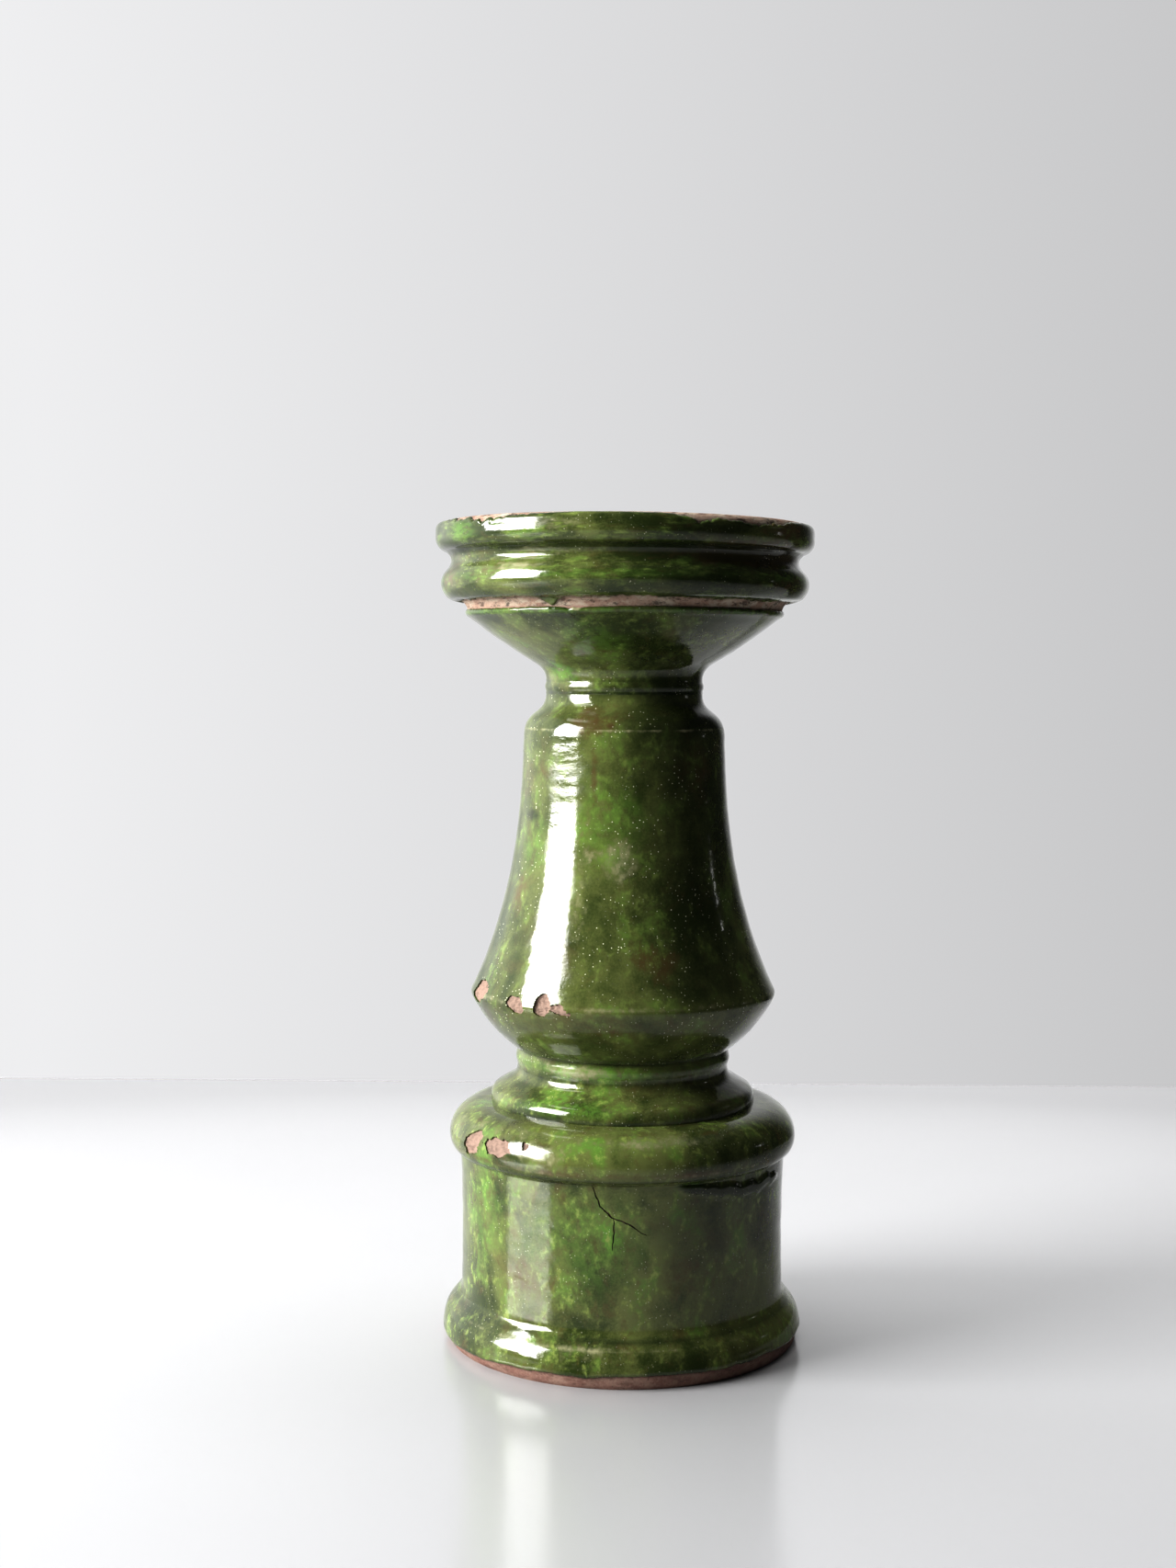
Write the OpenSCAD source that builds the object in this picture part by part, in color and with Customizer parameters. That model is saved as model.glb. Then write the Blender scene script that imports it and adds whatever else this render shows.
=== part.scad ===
// Glazed earthenware pillar candlestick, thrown in five sections that are luted together with slip.
// Millimetres, +Z up. The origin is the centre of the ring that the candlestick stands on.
// Every section is a body of revolution. An outline is a list of [radius, height] points, read upwards.

/* [Plinth] */
// Radius of the foot where it meets the table
foot_r = 73.2; // [70:0.2:74]
// Height of the bare clay band round the foot
bare_foot_h = 5; // [3:0.5:7]
// Radius of the drum just above the foot
drum_r = 66.8; // [65:0.2:68]
// How far the drum pulls in at half height
drum_waist = 0.55; // [0:0.05:1.5]
// Radius of the bullnose moulding at the top of the drum
bullnose_r = 72; // [70:0.2:74]
// Height of the widest line of the bullnose
bullnose_z = 86; // [84:0.5:88]

/* [Cap] */
// Radius of the flat disc that lies on the plinth
disc_r = 54.6; // [52:0.2:56]
// Radius of the waist above the disc
waist_r = 43.4; // [42:0.2:45]

/* [Bell] */
// Radius of the bell at its upper edge
bell_top_r = 41.5; // [40:0.1:43]
// Radius of the ridge round the bell's lower edge
bell_ridge_r = 63.2; // [62:0.1:65]
// How sharply the bell flares: a higher power keeps it straighter at the top
bell_flare_power = 2.5; // [2:0.1:3]
// Wall thickness of the bell, measured level
bell_wall = 8; // [6:0.5:9]

/* [Funnel] */
// Radius of the neck, which is the narrowest line of the whole piece
neck_r = 32; // [30:0.2:33]
// Radius of the funnel's upper edge
funnel_r = 65.4; // [64:0.2:67]

/* [Candle cup] */
// Radius of the moulded ring under the rim
ring_r = 75.8; // [74:0.2:77]
// Radius of the rim
rim_r = 78; // [77:0.2:80]
// Radius of the glazed inside wall, which the candle stands within
cup_bore_r = 62; // [58:0.5:63]
// Height of the glazed cup floor, which the candle stands on
cup_floor_z = 312; // [311.5:0.1:314]

/* [Materials] */
// Thickness of the fired glaze
glaze_t = 0.7; // [0.4:0.1:0.9]
// Thickness of the slip in each luted joint
slip_t = 1; // [0.6:0.1:1.4]

/* [Hidden] */
// Heights at which the sections meet. Each joint's slip lies just above its height.
PLINTH_TOP = 99;
CAP_TOP = 122;
BELL_TOP = 269.8;
FUNNEL_TOP = 303.5;

// Outer radii of the hidden joints' slip
CAP_TOP_R = 43.6;

// Radii of the hollow inside
HOLLOW_R = 58.5;
PLINTH_HOLE_R = 42;
CAP_HOLE_R = 35.5;
NECK_HOLE_R = neck_r - bell_wall;
FUNNEL_MOUTH_R = 54;

// Height of the bare band between the funnel's glaze and the cup's
BARE_BAND_TOP = 308.4;

// The bell's straight run between its ridge and its shoulder
BELL_LOW_Z = 148;
BELL_HIGH_Z = 253.3;

CLAY = [0.66, 0.42, 0.33];
SLIP = [0.72, 0.55, 0.45];
GLAZE = [0.20, 0.34, 0.10];

$fn = 96;

// ---- Outline tools ----

// Points on an oval about c, from angle a to angle b
function oval(c, size, a, b, steps = 10) =
    [for (i = [0:steps]) let (t = a + (b - a) * i / steps) c + [size[0] * cos(t), size[1] * sin(t)]];

// Unit vector to the right of a direction: outwards, where the outline runs upwards
function right_of(v) = [v[1], -v[0]] / norm(v);

// Points from a to b on a shallow bow that swells to the right by rise
function bow(a, b, rise, steps = 10) =
    [for (i = [0:steps]) let (t = i / steps) a + (b - a) * t + 4 * rise * t * (1 - t) * right_of(b - a)];

function last(list) = list[len(list) - 1];
function reverse(list) = [for (i = [len(list) - 1:-1:0]) list[i]];

// Unit normal of an outline at point i: the mean of its two edges' normals, lengthened as a mitre is
function mitre(path, i) =
    let (
        before = right_of(path[max(i, 1)] - path[max(i, 1) - 1]),
        after = right_of(path[min(i + 1, len(path) - 1)] - path[min(i + 1, len(path) - 1) - 1]),
        mean = (before + after) / norm(before + after)
    ) mean / (mean * after);

// The outline moved to its right by t
function swell(path, t) = [for (i = [0:len(path) - 1]) path[i] + t * mitre(path, i)];

// Level shift of an outline
function shift_in(path, wall) = [for (p = path) p - [wall, 0]];

// ---- Clay outlines, without the glaze ----

function foot_outline() = [
    [foot_r - 0.8, 0],
    [foot_r, 0.8],
    [foot_r + 1.2, bare_foot_h],
];

function plinth_upper_outline() = concat(
    oval([foot_r - 4.2, bare_foot_h], [5.4, 10.8], 3, 72),
    oval([drum_r + 6, 22], [6, 6], 238, 184, 6),
    bow([drum_r, 23], [drum_r + 0.6, bullnose_z - 7], -drum_waist, 12),
    oval([bullnose_r - 4.9, bullnose_z], [4.9, 6.3], -75, -8, 6),
    oval([bullnose_r - 14.7, bullnose_z], [14.7, 12.8], 0, 80, 12),
    [[disc_r, PLINTH_TOP]]
);

function cap_outline() = concat(
    [[disc_r, PLINTH_TOP + slip_t]],
    oval([disc_r - 2.3, 102.9], [2.3, 2.3], 0, 60, 5),
    oval([waist_r + 6.2, 114.2], [6.2, 6.2], 226, 180, 7),
    oval([waist_r - 0.9, 118.4], [1.9, 2.9], -62, 60, 8),
    [[CAP_TOP_R, CAP_TOP]]
);

function bell_r(z) =
    let (down = (BELL_HIGH_Z - z) / (BELL_HIGH_Z - BELL_LOW_Z))
    bell_top_r + 2.6 * down + (bell_ridge_r - 3.5 - bell_top_r) * pow(down, bell_flare_power);

function bell_outline() = concat(
    bow([CAP_TOP_R + 1.1, CAP_TOP + slip_t], [bell_ridge_r - 0.9, 143], 1.6, 12),
    oval([bell_ridge_r - 2.8, 145.6], [2.8, 2.8], -20, 25, 4),
    [for (z = [BELL_LOW_Z:5:BELL_HIGH_Z]) [bell_r(z), z]],
    oval([bell_top_r - 10.1, BELL_HIGH_Z], [10, 10], 5, 57, 7),
    oval([neck_r + 7.5, BELL_TOP - 0.6], [7.5, 7.5], 232, 184, 7),
    [[neck_r, BELL_TOP]]
);

function funnel_outline() = concat(
    oval([neck_r - 0.9, 273], [1.5, 2.1], -52, 52, 6),
    oval([neck_r + 7.6, 275.9], [7.5, 7.5], 180, 127, 8),
    bow([neck_r + 3.6, 282.4], [funnel_r - 0.1, 302.8], 0.6, 8),
    [[funnel_r, FUNNEL_TOP]]
);

function cup_band_outline() = [
    [funnel_r, FUNNEL_TOP + slip_t],
    [funnel_r + 0.6, 306.2],
    [funnel_r + 1.7, 307.5],
    [funnel_r + 3.4, BARE_BAND_TOP],
];

function cup_upper_outline() = concat(
    [last(cup_band_outline())],
    oval([ring_r - 5.6, 315.2], [5.6, 6.2], -76, 48, 12),
    bow([ring_r - 3, 321], [ring_r - 3.6, 327], -1, 6),
    oval([rim_r - 4.6, 333.2], [4.6, 4.6], -84, 0, 8),
    oval([rim_r - 4.5, 336], [4.5, 4], 6, 62, 6)
);

// The worn lip, bare between the two coats of glaze
function cup_lip_outline() = concat(
    oval([rim_r - 4.5, 336], [4.5, 4], 68, 90, 3),
    oval([cup_bore_r + glaze_t + 5.5, 334], [5.5, 6], 90, 112, 3)
);

// The inside, read down from the lip, so that its right-hand side is the hollow
function cup_lining_outline() =
    let (wall_r = cup_bore_r + glaze_t, floor_z = cup_floor_z - glaze_t)
    concat(
        oval([wall_r + 5.5, 334], [5.5, 6], 118, 180, 7),
        oval([wall_r - 4, floor_z + 4], [4, 4], 0, -90, 6),
        [[wall_r - 6, floor_z]]
    );

// ---- Solids ----

// A body of revolution between two outlines, both read upwards
module turned(outer, inner) {
    rotate_extrude() polygon(concat(outer, reverse(inner)));
}

// The coat of glaze that lies on an outline
module glaze_on(path) {
    color(GLAZE) turned(swell(path, glaze_t), path);
}

// A luted joint: a flat ring of slip, with the roll that squeezes out into the hollow
module slip_ring(z, hole_r, outer_r, roll = 1.6) {
    color(SLIP) rotate_extrude() polygon([
        [hole_r, z],
        [outer_r, z],
        [outer_r, z + slip_t],
        [hole_r, z + slip_t],
        [hole_r - 0.01, z + slip_t + roll],
        [hole_r - roll, z + slip_t / 2],
        [hole_r - 0.01, z - roll],
    ]);
}

module plinth() {
    hollow = concat(
        [[HOLLOW_R + 1, 0], [HOLLOW_R, 1]],
        oval([HOLLOW_R - 12, 77.5], [12, 12], 0, 84, 8),
        [[PLINTH_HOLE_R, 90], [PLINTH_HOLE_R, PLINTH_TOP]]
    );
    color(CLAY) turned(concat(foot_outline(), plinth_upper_outline()), hollow);
}

module pedestal_cap() {
    low_z = PLINTH_TOP + slip_t;
    hollow = [
        [PLINTH_HOLE_R, low_z],
        [PLINTH_HOLE_R, low_z + 2],
        [CAP_HOLE_R, low_z + 8],
        [CAP_HOLE_R, CAP_TOP],
    ];
    color(CLAY) turned(cap_outline(), hollow);
}

module bell_stem() {
    outer = bell_outline();
    seat = [CAP_HOLE_R, CAP_TOP + slip_t];
    hollow = concat(
        [seat, seat + [0, 1.8]],
        [for (p = shift_in(outer, bell_wall)) if (p[1] > seat[1] + 3) p]
    );
    color(CLAY) turned(outer, hollow);
}

module funnel() {
    low_z = BELL_TOP + slip_t;
    hollow = concat(
        [[NECK_HOLE_R, low_z], [NECK_HOLE_R, 277]],
        bow([NECK_HOLE_R + 2, 281], [FUNNEL_MOUTH_R, FUNNEL_TOP - 2], 0.6, 8),
        [[FUNNEL_MOUTH_R, FUNNEL_TOP]]
    );
    color(CLAY) turned(concat([[neck_r, low_z]], funnel_outline()), hollow);
}

module candle_cup() {
    color(CLAY) rotate_extrude() polygon(concat(
        cup_band_outline(),
        cup_upper_outline(),
        cup_lip_outline(),
        cup_lining_outline(),
        [[0, cup_floor_z - glaze_t], [0, FUNNEL_TOP + slip_t]]
    ));
}

module plinth_seam_slip() { slip_ring(PLINTH_TOP, PLINTH_HOLE_R, disc_r); }
module bell_seam_slip() { slip_ring(CAP_TOP, CAP_HOLE_R, CAP_TOP_R); }
module neck_seam_slip() { slip_ring(BELL_TOP, NECK_HOLE_R, neck_r); }
module cup_seam_slip() { slip_ring(FUNNEL_TOP, FUNNEL_MOUTH_R, funnel_r); }

module plinth_glaze() { glaze_on(concat([last(foot_outline())], plinth_upper_outline())); }
module pedestal_cap_glaze() { glaze_on(concat([[disc_r, PLINTH_TOP + glaze_t]], cap_outline())); }
module bell_stem_glaze() { glaze_on(concat([[CAP_TOP_R, CAP_TOP]], bell_outline())); }
module funnel_glaze() { glaze_on(concat([[neck_r, BELL_TOP]], funnel_outline())); }
module candle_cup_outer_glaze() { glaze_on(cup_upper_outline()); }

module candle_cup_lining_glaze() {
    path = cup_lining_outline();
    floor_z = cup_floor_z - glaze_t;
    color(GLAZE) rotate_extrude() polygon(concat(
        swell(path, glaze_t),
        [[0, cup_floor_z], [0, floor_z]],
        reverse(path)
    ));
}

plinth();
pedestal_cap();
bell_stem();
funnel();
candle_cup();
plinth_seam_slip();
bell_seam_slip();
neck_seam_slip();
cup_seam_slip();
plinth_glaze();
pedestal_cap_glaze();
bell_stem_glaze();
funnel_glaze();
candle_cup_outer_glaze();
candle_cup_lining_glaze();
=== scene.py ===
"""Visual model of a green-glazed earthenware candlestick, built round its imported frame.

The candlestick is thrown in five sections. Each section is a clay wall with coats of glaze
on it, and a ring of slip joins it to the next. Everything is modelled in millimetres and
made metres as its last step. An outline is a line of (radius, height) points, read so that
the open air is on its right. An azimuth is in degrees to the right of the front, which
faces -Y.
"""

import logging
import math
from abc import ABC, abstractmethod
from dataclasses import dataclass, field
from enum import Enum
from typing import Callable, ClassVar, Iterable, Mapping, Sequence

import bmesh
import bpy
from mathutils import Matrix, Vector, noise


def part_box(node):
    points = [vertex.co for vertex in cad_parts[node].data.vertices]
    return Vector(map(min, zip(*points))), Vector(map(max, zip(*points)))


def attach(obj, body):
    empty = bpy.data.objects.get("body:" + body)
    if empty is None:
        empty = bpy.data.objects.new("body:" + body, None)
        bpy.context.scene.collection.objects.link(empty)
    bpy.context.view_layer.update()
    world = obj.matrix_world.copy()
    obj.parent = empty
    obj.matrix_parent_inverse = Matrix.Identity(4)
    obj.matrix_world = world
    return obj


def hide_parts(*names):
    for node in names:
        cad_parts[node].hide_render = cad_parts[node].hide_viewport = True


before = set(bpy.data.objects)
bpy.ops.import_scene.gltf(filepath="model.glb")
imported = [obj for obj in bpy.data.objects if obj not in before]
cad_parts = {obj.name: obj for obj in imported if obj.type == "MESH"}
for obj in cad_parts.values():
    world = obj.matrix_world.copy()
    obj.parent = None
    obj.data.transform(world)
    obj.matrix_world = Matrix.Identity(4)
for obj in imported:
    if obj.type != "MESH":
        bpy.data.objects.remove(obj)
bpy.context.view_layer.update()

log = logging.getLogger("candlestick")

MM = 0.001
BODY = "root"

Point = tuple[float, float]
Field = Callable[[Vector], float]


# ---- Measures ----


def heights(node: str) -> tuple[float, float]:
    """The lowest and highest level of a CAD node, in millimetres."""
    low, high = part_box(node)
    return low[2] / MM, high[2] / MM


def azimuth(at: Vector) -> float:
    """Degrees to the right of the front."""
    return math.degrees(math.atan2(at.x, -at.y))


def turn_between(start: float, end: float) -> float:
    """The turn from one azimuth to another, in degrees, from -180 to 180."""
    return (end - start + 180) % 360 - 180


def ease(low: float, high: float, value: float) -> float:
    """A smooth step from 0 at low to 1 at high."""
    t = min(max((value - low) / (high - low), 0.0), 1.0)
    return t * t * (3 - 2 * t)


def hump(offset: float, width: float) -> float:
    """A bell curve: 1 at no offset, and near 0 past twice the width."""
    return math.exp(-((offset / width) ** 2))


def lumps(at: Vector, size: float, seed: float = 0.0, octaves: int = 3) -> float:
    """Smooth noise from about -1 to 1.

    Args:
        at: The place.
        size: How far apart the lumps are, in the units of the place.
        seed: Picks one pattern out of many.
        octaves: How many finer layers it has.

    Returns:
        The noise there.
    """
    return noise.fractal(at / size + Vector((seed, -seed, 2 * seed)), 1.0, 2.0, octaves)


def wander(degrees: float, detail: float, seed: float) -> float:
    """Noise that closes on itself after a full turn.

    Args:
        degrees: The azimuth.
        detail: How many lumps there are to a radian.
        seed: Picks one pattern out of many.

    Returns:
        The noise there, from about -1 to 1.
    """
    turn = math.radians(degrees)
    return lumps(Vector((math.cos(turn), math.sin(turn), 0)) * detail, 1.0, seed)


class Hand:
    """The unevenness that throwing by hand leaves. All pieces get the same, so they still fit."""

    OVAL, OVAL_START, OVAL_TWIST = 0.2, 0.8, 90
    RING_PITCH, RING_DEPTH, RING_DRIFT, RING_SEED = 4.4, 0.13, 0.9, 3.3
    TRUE_RADIUS = 30
    RIM_LEAN, RIM_START, RIM_END = 0.0065, 296, 336

    @classmethod
    def throw(cls, at: Vector) -> Vector:
        """Moves a place on the true turned shape to where the hand left it.

        Args:
            at: The place, in millimetres.

        Returns:
            The place on the uneven shape.
        """
        radius = math.hypot(at.x, at.y)
        if radius < 1e-6:
            return at.copy()
        turn = math.atan2(at.y, at.x)
        swell = cls.OVAL * math.cos(2 * turn + cls.OVAL_START + at.z / cls.OVAL_TWIST)
        across, forth = cls.RING_DRIFT * math.cos(turn), cls.RING_DRIFT * math.sin(turn)
        ring = Vector((at.z / cls.RING_PITCH, across, forth))
        swell += cls.RING_DEPTH * lumps(ring, 1.0, cls.RING_SEED, 1)
        swell *= ease(0, cls.TRUE_RADIUS, radius)
        settle = cls.RIM_LEAN * at.x * ease(cls.RIM_START, cls.RIM_END, at.z)
        return Vector((at.x * (1 + swell / radius), at.y * (1 + swell / radius), at.z - settle))


# ---- Outlines ----


@dataclass
class Outline:
    """A line of (radius, height) points, drawn by one stroke after another."""

    points: list[Vector] = field(default_factory=list)

    def to(self, *points: Point) -> "Outline":
        """Draws straight lines to the points."""
        self.points += [Vector(point) for point in points]
        return self

    def oval(
        self, centre: Point, size: Point, start: float, end: float, steps: int = 24
    ) -> "Outline":
        """Draws part of an oval.

        Args:
            centre: The oval's middle.
            size: Its half width and half height.
            start: The angle it starts at, in degrees from the outward level.
            end: The angle it ends at.
            steps: How many straight stretches stand for the curve.

        Returns:
            The outline itself.
        """
        for i in range(steps + 1):
            angle = math.radians(start + (end - start) * i / steps)
            offset = (size[0] * math.cos(angle), size[1] * math.sin(angle))
            self.points.append(Vector(centre) + Vector(offset))
        return self

    def bow(self, start: Point, end: Point, rise: float, steps: int = 24) -> "Outline":
        """Draws a shallow bow that swells to the right by rise."""
        first, along = Vector(start), Vector(end) - Vector(start)
        right = Vector((along.y, -along.x)).normalized()
        for i in range(steps + 1):
            t = i / steps
            self.points.append(first + along * t + right * (4 * rise * t * (1 - t)))
        return self

    def joined(self, other: "Outline") -> "Outline":
        """This outline followed by another."""
        return Outline(self.points + other.points)

    def reversed(self) -> "Outline":
        """The same line drawn the other way."""
        return Outline(self.points[::-1])

    def moved_in(self, wall: float) -> "Outline":
        """The same line, nearer the axis by a wall's thickness."""
        return Outline([point - Vector((wall, 0)) for point in self.points])

    def part(self, low: float, high: float) -> "Outline":
        """The stretch of the line between two levels."""
        return Outline([point for point in self.points if low <= point.y <= high])

    def radius_at(self, height: float) -> float:
        """The largest radius that the line has at a level."""
        found = [
            a.x + (b.x - a.x) * (height - a.y) / (b.y - a.y)
            for a, b in zip(self.points, self.points[1:])
            if (a.y - height) * (b.y - height) <= 0 and a.y != b.y
        ]
        return max(found)

    def evened(self, pitch: Field, passes: int = 1) -> "Outline":
        """The line with even spacing and with its corners eased.

        Args:
            pitch: The spacing at a point of the line, in millimetres.
            passes: How many times the corners are eased.

        Returns:
            A new outline.
        """
        made, rest = [self.points[0].copy()], 0.0
        for a, b in zip(self.points, self.points[1:]):
            length, travelled = (b - a).length, -rest
            while True:
                reached = a.lerp(b, max(travelled, 0) / length) if length else a
                if length - travelled < pitch(reached):
                    break
                travelled += pitch(reached)
                made.append(a.lerp(b, travelled / length))
            rest = length - travelled
        if (made[-1] - self.points[-1]).length < 0.5 * pitch(made[-1]) and len(made) > 1:
            made.pop()
        made.append(self.points[-1].copy())
        for _ in range(passes):
            inner = [(a + 2 * b + c) / 4 for a, b, c in zip(made, made[1:], made[2:])]
            made = [made[0], *inner, made[-1]]
        return Outline(made)


# ---- Marks on the surface ----


@dataclass(frozen=True)
class Worn:
    """A stretch of a glaze edge where the glaze ends earlier, by a depth in millimetres."""

    azimuth: float
    half_width: float
    depth: float


@dataclass(frozen=True)
class GlazeEdge:
    """The wandering line where a coat of glaze ends, all the way round.

    Attributes:
        height: Its mean level.
        glaze_above: Whether the glaze lies above it, or else below it.
        swing: How far it wanders up and down.
        seed: Picks one line out of many.
        worn: Stretches where the glaze ends earlier.
        ragged: How far it is broken into teeth where it is worn.
        fray: How far it is broken into fine teeth all the way round.
    """

    height: float
    glaze_above: bool
    swing: float
    seed: float
    worn: tuple[Worn, ...] = ()
    ragged: float = 0.0
    fray: float = 0.0

    REACH = 9
    SLOW_WAVES, QUICK_WAVES, TEETH, FINE_TEETH = 2.2, 7.0, 22.0, 26.0

    def margin(self, at: Vector) -> float:
        """How far a place lies inside the glaze, in millimetres: negative on bare clay."""
        side = 1 if self.glaze_above else -1
        if abs(at.z - self.height) > self.REACH:
            return side * (at.z - self.height)
        angle = azimuth(at)
        level = self.height + self.swing * (
            wander(angle, self.SLOW_WAVES, self.seed)
            + 0.5 * wander(angle, self.QUICK_WAVES, self.seed + 3)
        )
        if self.fray:
            level += self.fray * wander(angle, self.FINE_TEETH, self.seed + 5)
        for worn in self.worn:
            share = hump(turn_between(worn.azimuth, angle), worn.half_width)
            teeth = self.ragged * wander(angle, self.TEETH, self.seed + 8)
            level += side * share * (worn.depth + teeth)
        return side * (at.z - level)


@dataclass(frozen=True)
class Chip:
    """A place where a flake of glaze has broken off the clay.

    Attributes:
        azimuth: Where its middle is.
        height: Its middle's level.
        width: Its size along its leaning axis.
        tall: Its size across that axis.
        lean: How far the axis rises to the right, in degrees.
        depth: How deep it goes into the clay.
        seed: Picks one ragged edge out of many.
    """

    azimuth: float
    height: float
    width: float
    tall: float
    lean: float = 0.0
    depth: float = 0.7
    seed: float = 0.0

    REACH = 5.0
    WALL = 3
    RAGGED, RAGGED_SIZE = 1.1, 3.4
    TORN, TORN_SIZE = 0.35, 1.0

    def margin(self, at: Vector, radius: float) -> float:
        """How far a place lies outside the flake.

        Args:
            at: The place, in millimetres.
            radius: The radius of the clay's outside at the chip.

        Returns:
            Millimetres from the flake's ragged edge. It is negative within the flake.
        """
        across = math.radians(turn_between(self.azimuth, azimuth(at))) * radius
        up = at.z - self.height
        lean = math.radians(self.lean)
        u = (across * math.cos(lean) + up * math.sin(lean)) / (self.width / 2)
        v = (up * math.cos(lean) - across * math.sin(lean)) / (self.tall / 2)
        margin = (math.hypot(u, v) - 1) * min(self.width, self.tall) / 2
        under = max(0.0, radius - self.WALL - math.hypot(at.x, at.y))
        if margin + under > self.REACH:
            return margin + under
        ragged = self.RAGGED * lumps(at, self.RAGGED_SIZE, self.seed)
        ragged += self.TORN * lumps(at, self.TORN_SIZE, self.seed + 1)
        return margin + under + ragged


@dataclass(frozen=True)
class Flake:
    """A chip on a wall of known radius."""

    chip: Chip
    radius: float

    SLOPE, LUMP_SIZE = 1.6, 1.8

    def margin(self, at: Vector) -> float:
        """How far a place lies outside the chip."""
        return self.chip.margin(at, self.radius)

    def dish(self, at: Vector) -> float:
        """How deep the clay is hollowed at a place."""
        inside = -self.margin(at)
        if inside <= 0:
            return 0.0
        uneven = 0.8 + 0.5 * lumps(at, self.LUMP_SIZE, 3.0)
        return self.chip.depth * ease(0, self.SLOPE, inside) * uneven


@dataclass(frozen=True)
class Hairline:
    """A crack through the glaze, along (azimuth, height) points."""

    route: tuple[Point, ...]
    radius: float
    width: float

    REACH = 25
    FAR = 20.0
    SHAKE, SHAKE_SIZE = 0.35, 3.0

    def margin(self, at: Vector) -> float:
        """How far a place lies from the crack's edge, in millimetres: negative in the crack."""
        angle = azimuth(at)
        middle = self.route[len(self.route) // 2]
        if max(abs(turn_between(middle[0], angle)), abs(at.z - middle[1])) > self.REACH:
            return self.FAR
        shake = Vector((lumps(at, self.SHAKE_SIZE, 4.0), lumps(at, self.SHAKE_SIZE, 9.0)))
        place = self._flat((angle, at.z)) + shake * self.SHAKE
        corners = [self._flat(point) for point in self.route]
        nearest, taper = self.FAR, 1.0
        for i, (a, b) in enumerate(zip(corners, corners[1:])):
            t = min(max((place - a).dot(b - a) / (b - a).length_squared, 0), 1)
            gap = (place - a.lerp(b, t)).length
            if gap < nearest:
                along = (i + t) / (len(corners) - 1)
                nearest, taper = gap, math.sqrt(max(1 - abs(2 * along - 1) ** 3, 0.02))
        return nearest - self.width / 2 * taper

    def _flat(self, point: Point) -> Vector:
        """A point of the route on the unrolled wall, in millimetres."""
        return Vector((math.radians(point[0]) * self.radius, point[1]))


class Tint(Enum):
    """What changes the glaze's colour or skin in places. The value names the mesh attribute."""

    RUST = "rust"
    # Glaze pooled thick and dark, and also painted shade: dark bands in creases and dark stains on
    # the side away from the window.
    POOL_AND_SHADE = "pool_and_shade"
    # Glaze run thin and pale on edges and in patches, and also painted sheen: a reflection on the
    # bullnose's top and a bloom beside the bell's highlight.
    PALE = "pale"
    VIVID = "vivid"
    RIPPLE = "ripple"


class ClayMark(Enum):
    """What changes the clay's colour in places. The value names the mesh attribute."""

    FRESH = "fresh"
    SOOT = "soot"


@dataclass(frozen=True)
class Stain:
    """A soft patch where a tint is strong. Its width and height are half sizes."""

    tint: Tint
    azimuth: float
    height: float
    width: float
    tall: float
    strength: float = 1.0

    REACH, CORE, EDGE, RAGGED = 1.6, 0.25, 1.1, 0.28

    def amount(self, at: Vector) -> float:
        """How strong the tint is at a place, from 0 to the stain's strength."""
        radius = max(math.hypot(at.x, at.y), 1.0)
        across = math.radians(turn_between(self.azimuth, azimuth(at))) * radius
        spread = math.hypot(across / self.width, (at.z - self.height) / self.tall)
        if spread > self.REACH:
            return 0.0
        spread += self.RAGGED * lumps(at, 0.5 * min(self.width, self.tall) + 2, self.azimuth)
        return self.strength * (1 - ease(self.CORE, self.EDGE, spread))


@dataclass(frozen=True)
class Roll:
    """A thick roll that running glaze set in, from one azimuth to another.

    Attributes:
        start: The azimuth at its left end.
        end: The azimuth at its right end.
        height: The level of its left end.
        end_height: The level that it has sagged to by its middle.
        tall: Its height.
        rise: How far it stands out.
    """

    start: float
    end: float
    height: float
    end_height: float
    tall: float
    rise: float
    tint: Tint = Tint.POOL_AND_SHADE

    REACH = 4
    WAVE, WAVES = 0.35, 12.0
    BLUNT, THINNEST, FADE = 2.6, 0.001, 6

    def amount(self, at: Vector) -> float:
        """How much of the roll's full thickness a place has, from 0 to 1."""
        if abs(at.z - self.height) > self.REACH * self.tall:
            return 0.0
        angle = azimuth(at)
        middle, half = (self.start + self.end) / 2, (self.end - self.start) / 2
        offset = turn_between(middle, angle)
        if abs(offset) > half:
            return 0.0
        sag = ease(-half, 0, offset) * (self.end_height - self.height)
        level = self.height + sag + self.WAVE * self.tall * wander(angle, self.WAVES, self.start)
        taper = max(1 - abs(offset / half) ** self.BLUNT, self.THINNEST)
        reach = self.tall / 2 * math.sqrt(taper)
        end = ease(half, half - self.FADE, abs(offset))
        return ease(1.15, 0.45, abs(at.z - level) / reach) * end


@dataclass(frozen=True)
class Band:
    """A tint that runs all the way round at one level."""

    tint: Tint
    height: float
    tall: float
    strength: float = 1.0

    REACH, WAVES = 2.5, 5.0

    def amount(self, at: Vector) -> float:
        """How strong the tint is at a place, from 0 to the band's strength."""
        offset = (at.z - self.height) / self.tall
        if abs(offset) > self.REACH:
            return 0.0
        uneven = 0.75 + 0.5 * wander(azimuth(at), self.WAVES, self.height)
        return self.strength * hump(offset, 1.0) * uneven


def stains(tint: Tint, *rows: tuple[float, ...]) -> tuple[Stain, ...]:
    """Stains of one tint, from rows of (azimuth, height, width, tall, strength)."""
    return tuple(Stain(tint, *row) for row in rows)


def bands(tint: Tint, *rows: tuple[float, ...]) -> tuple[Band, ...]:
    """Bands of one tint, from rows of (height, tall, strength)."""
    return tuple(Band(tint, *row) for row in rows)


# ---- Mesh work ----


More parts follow.
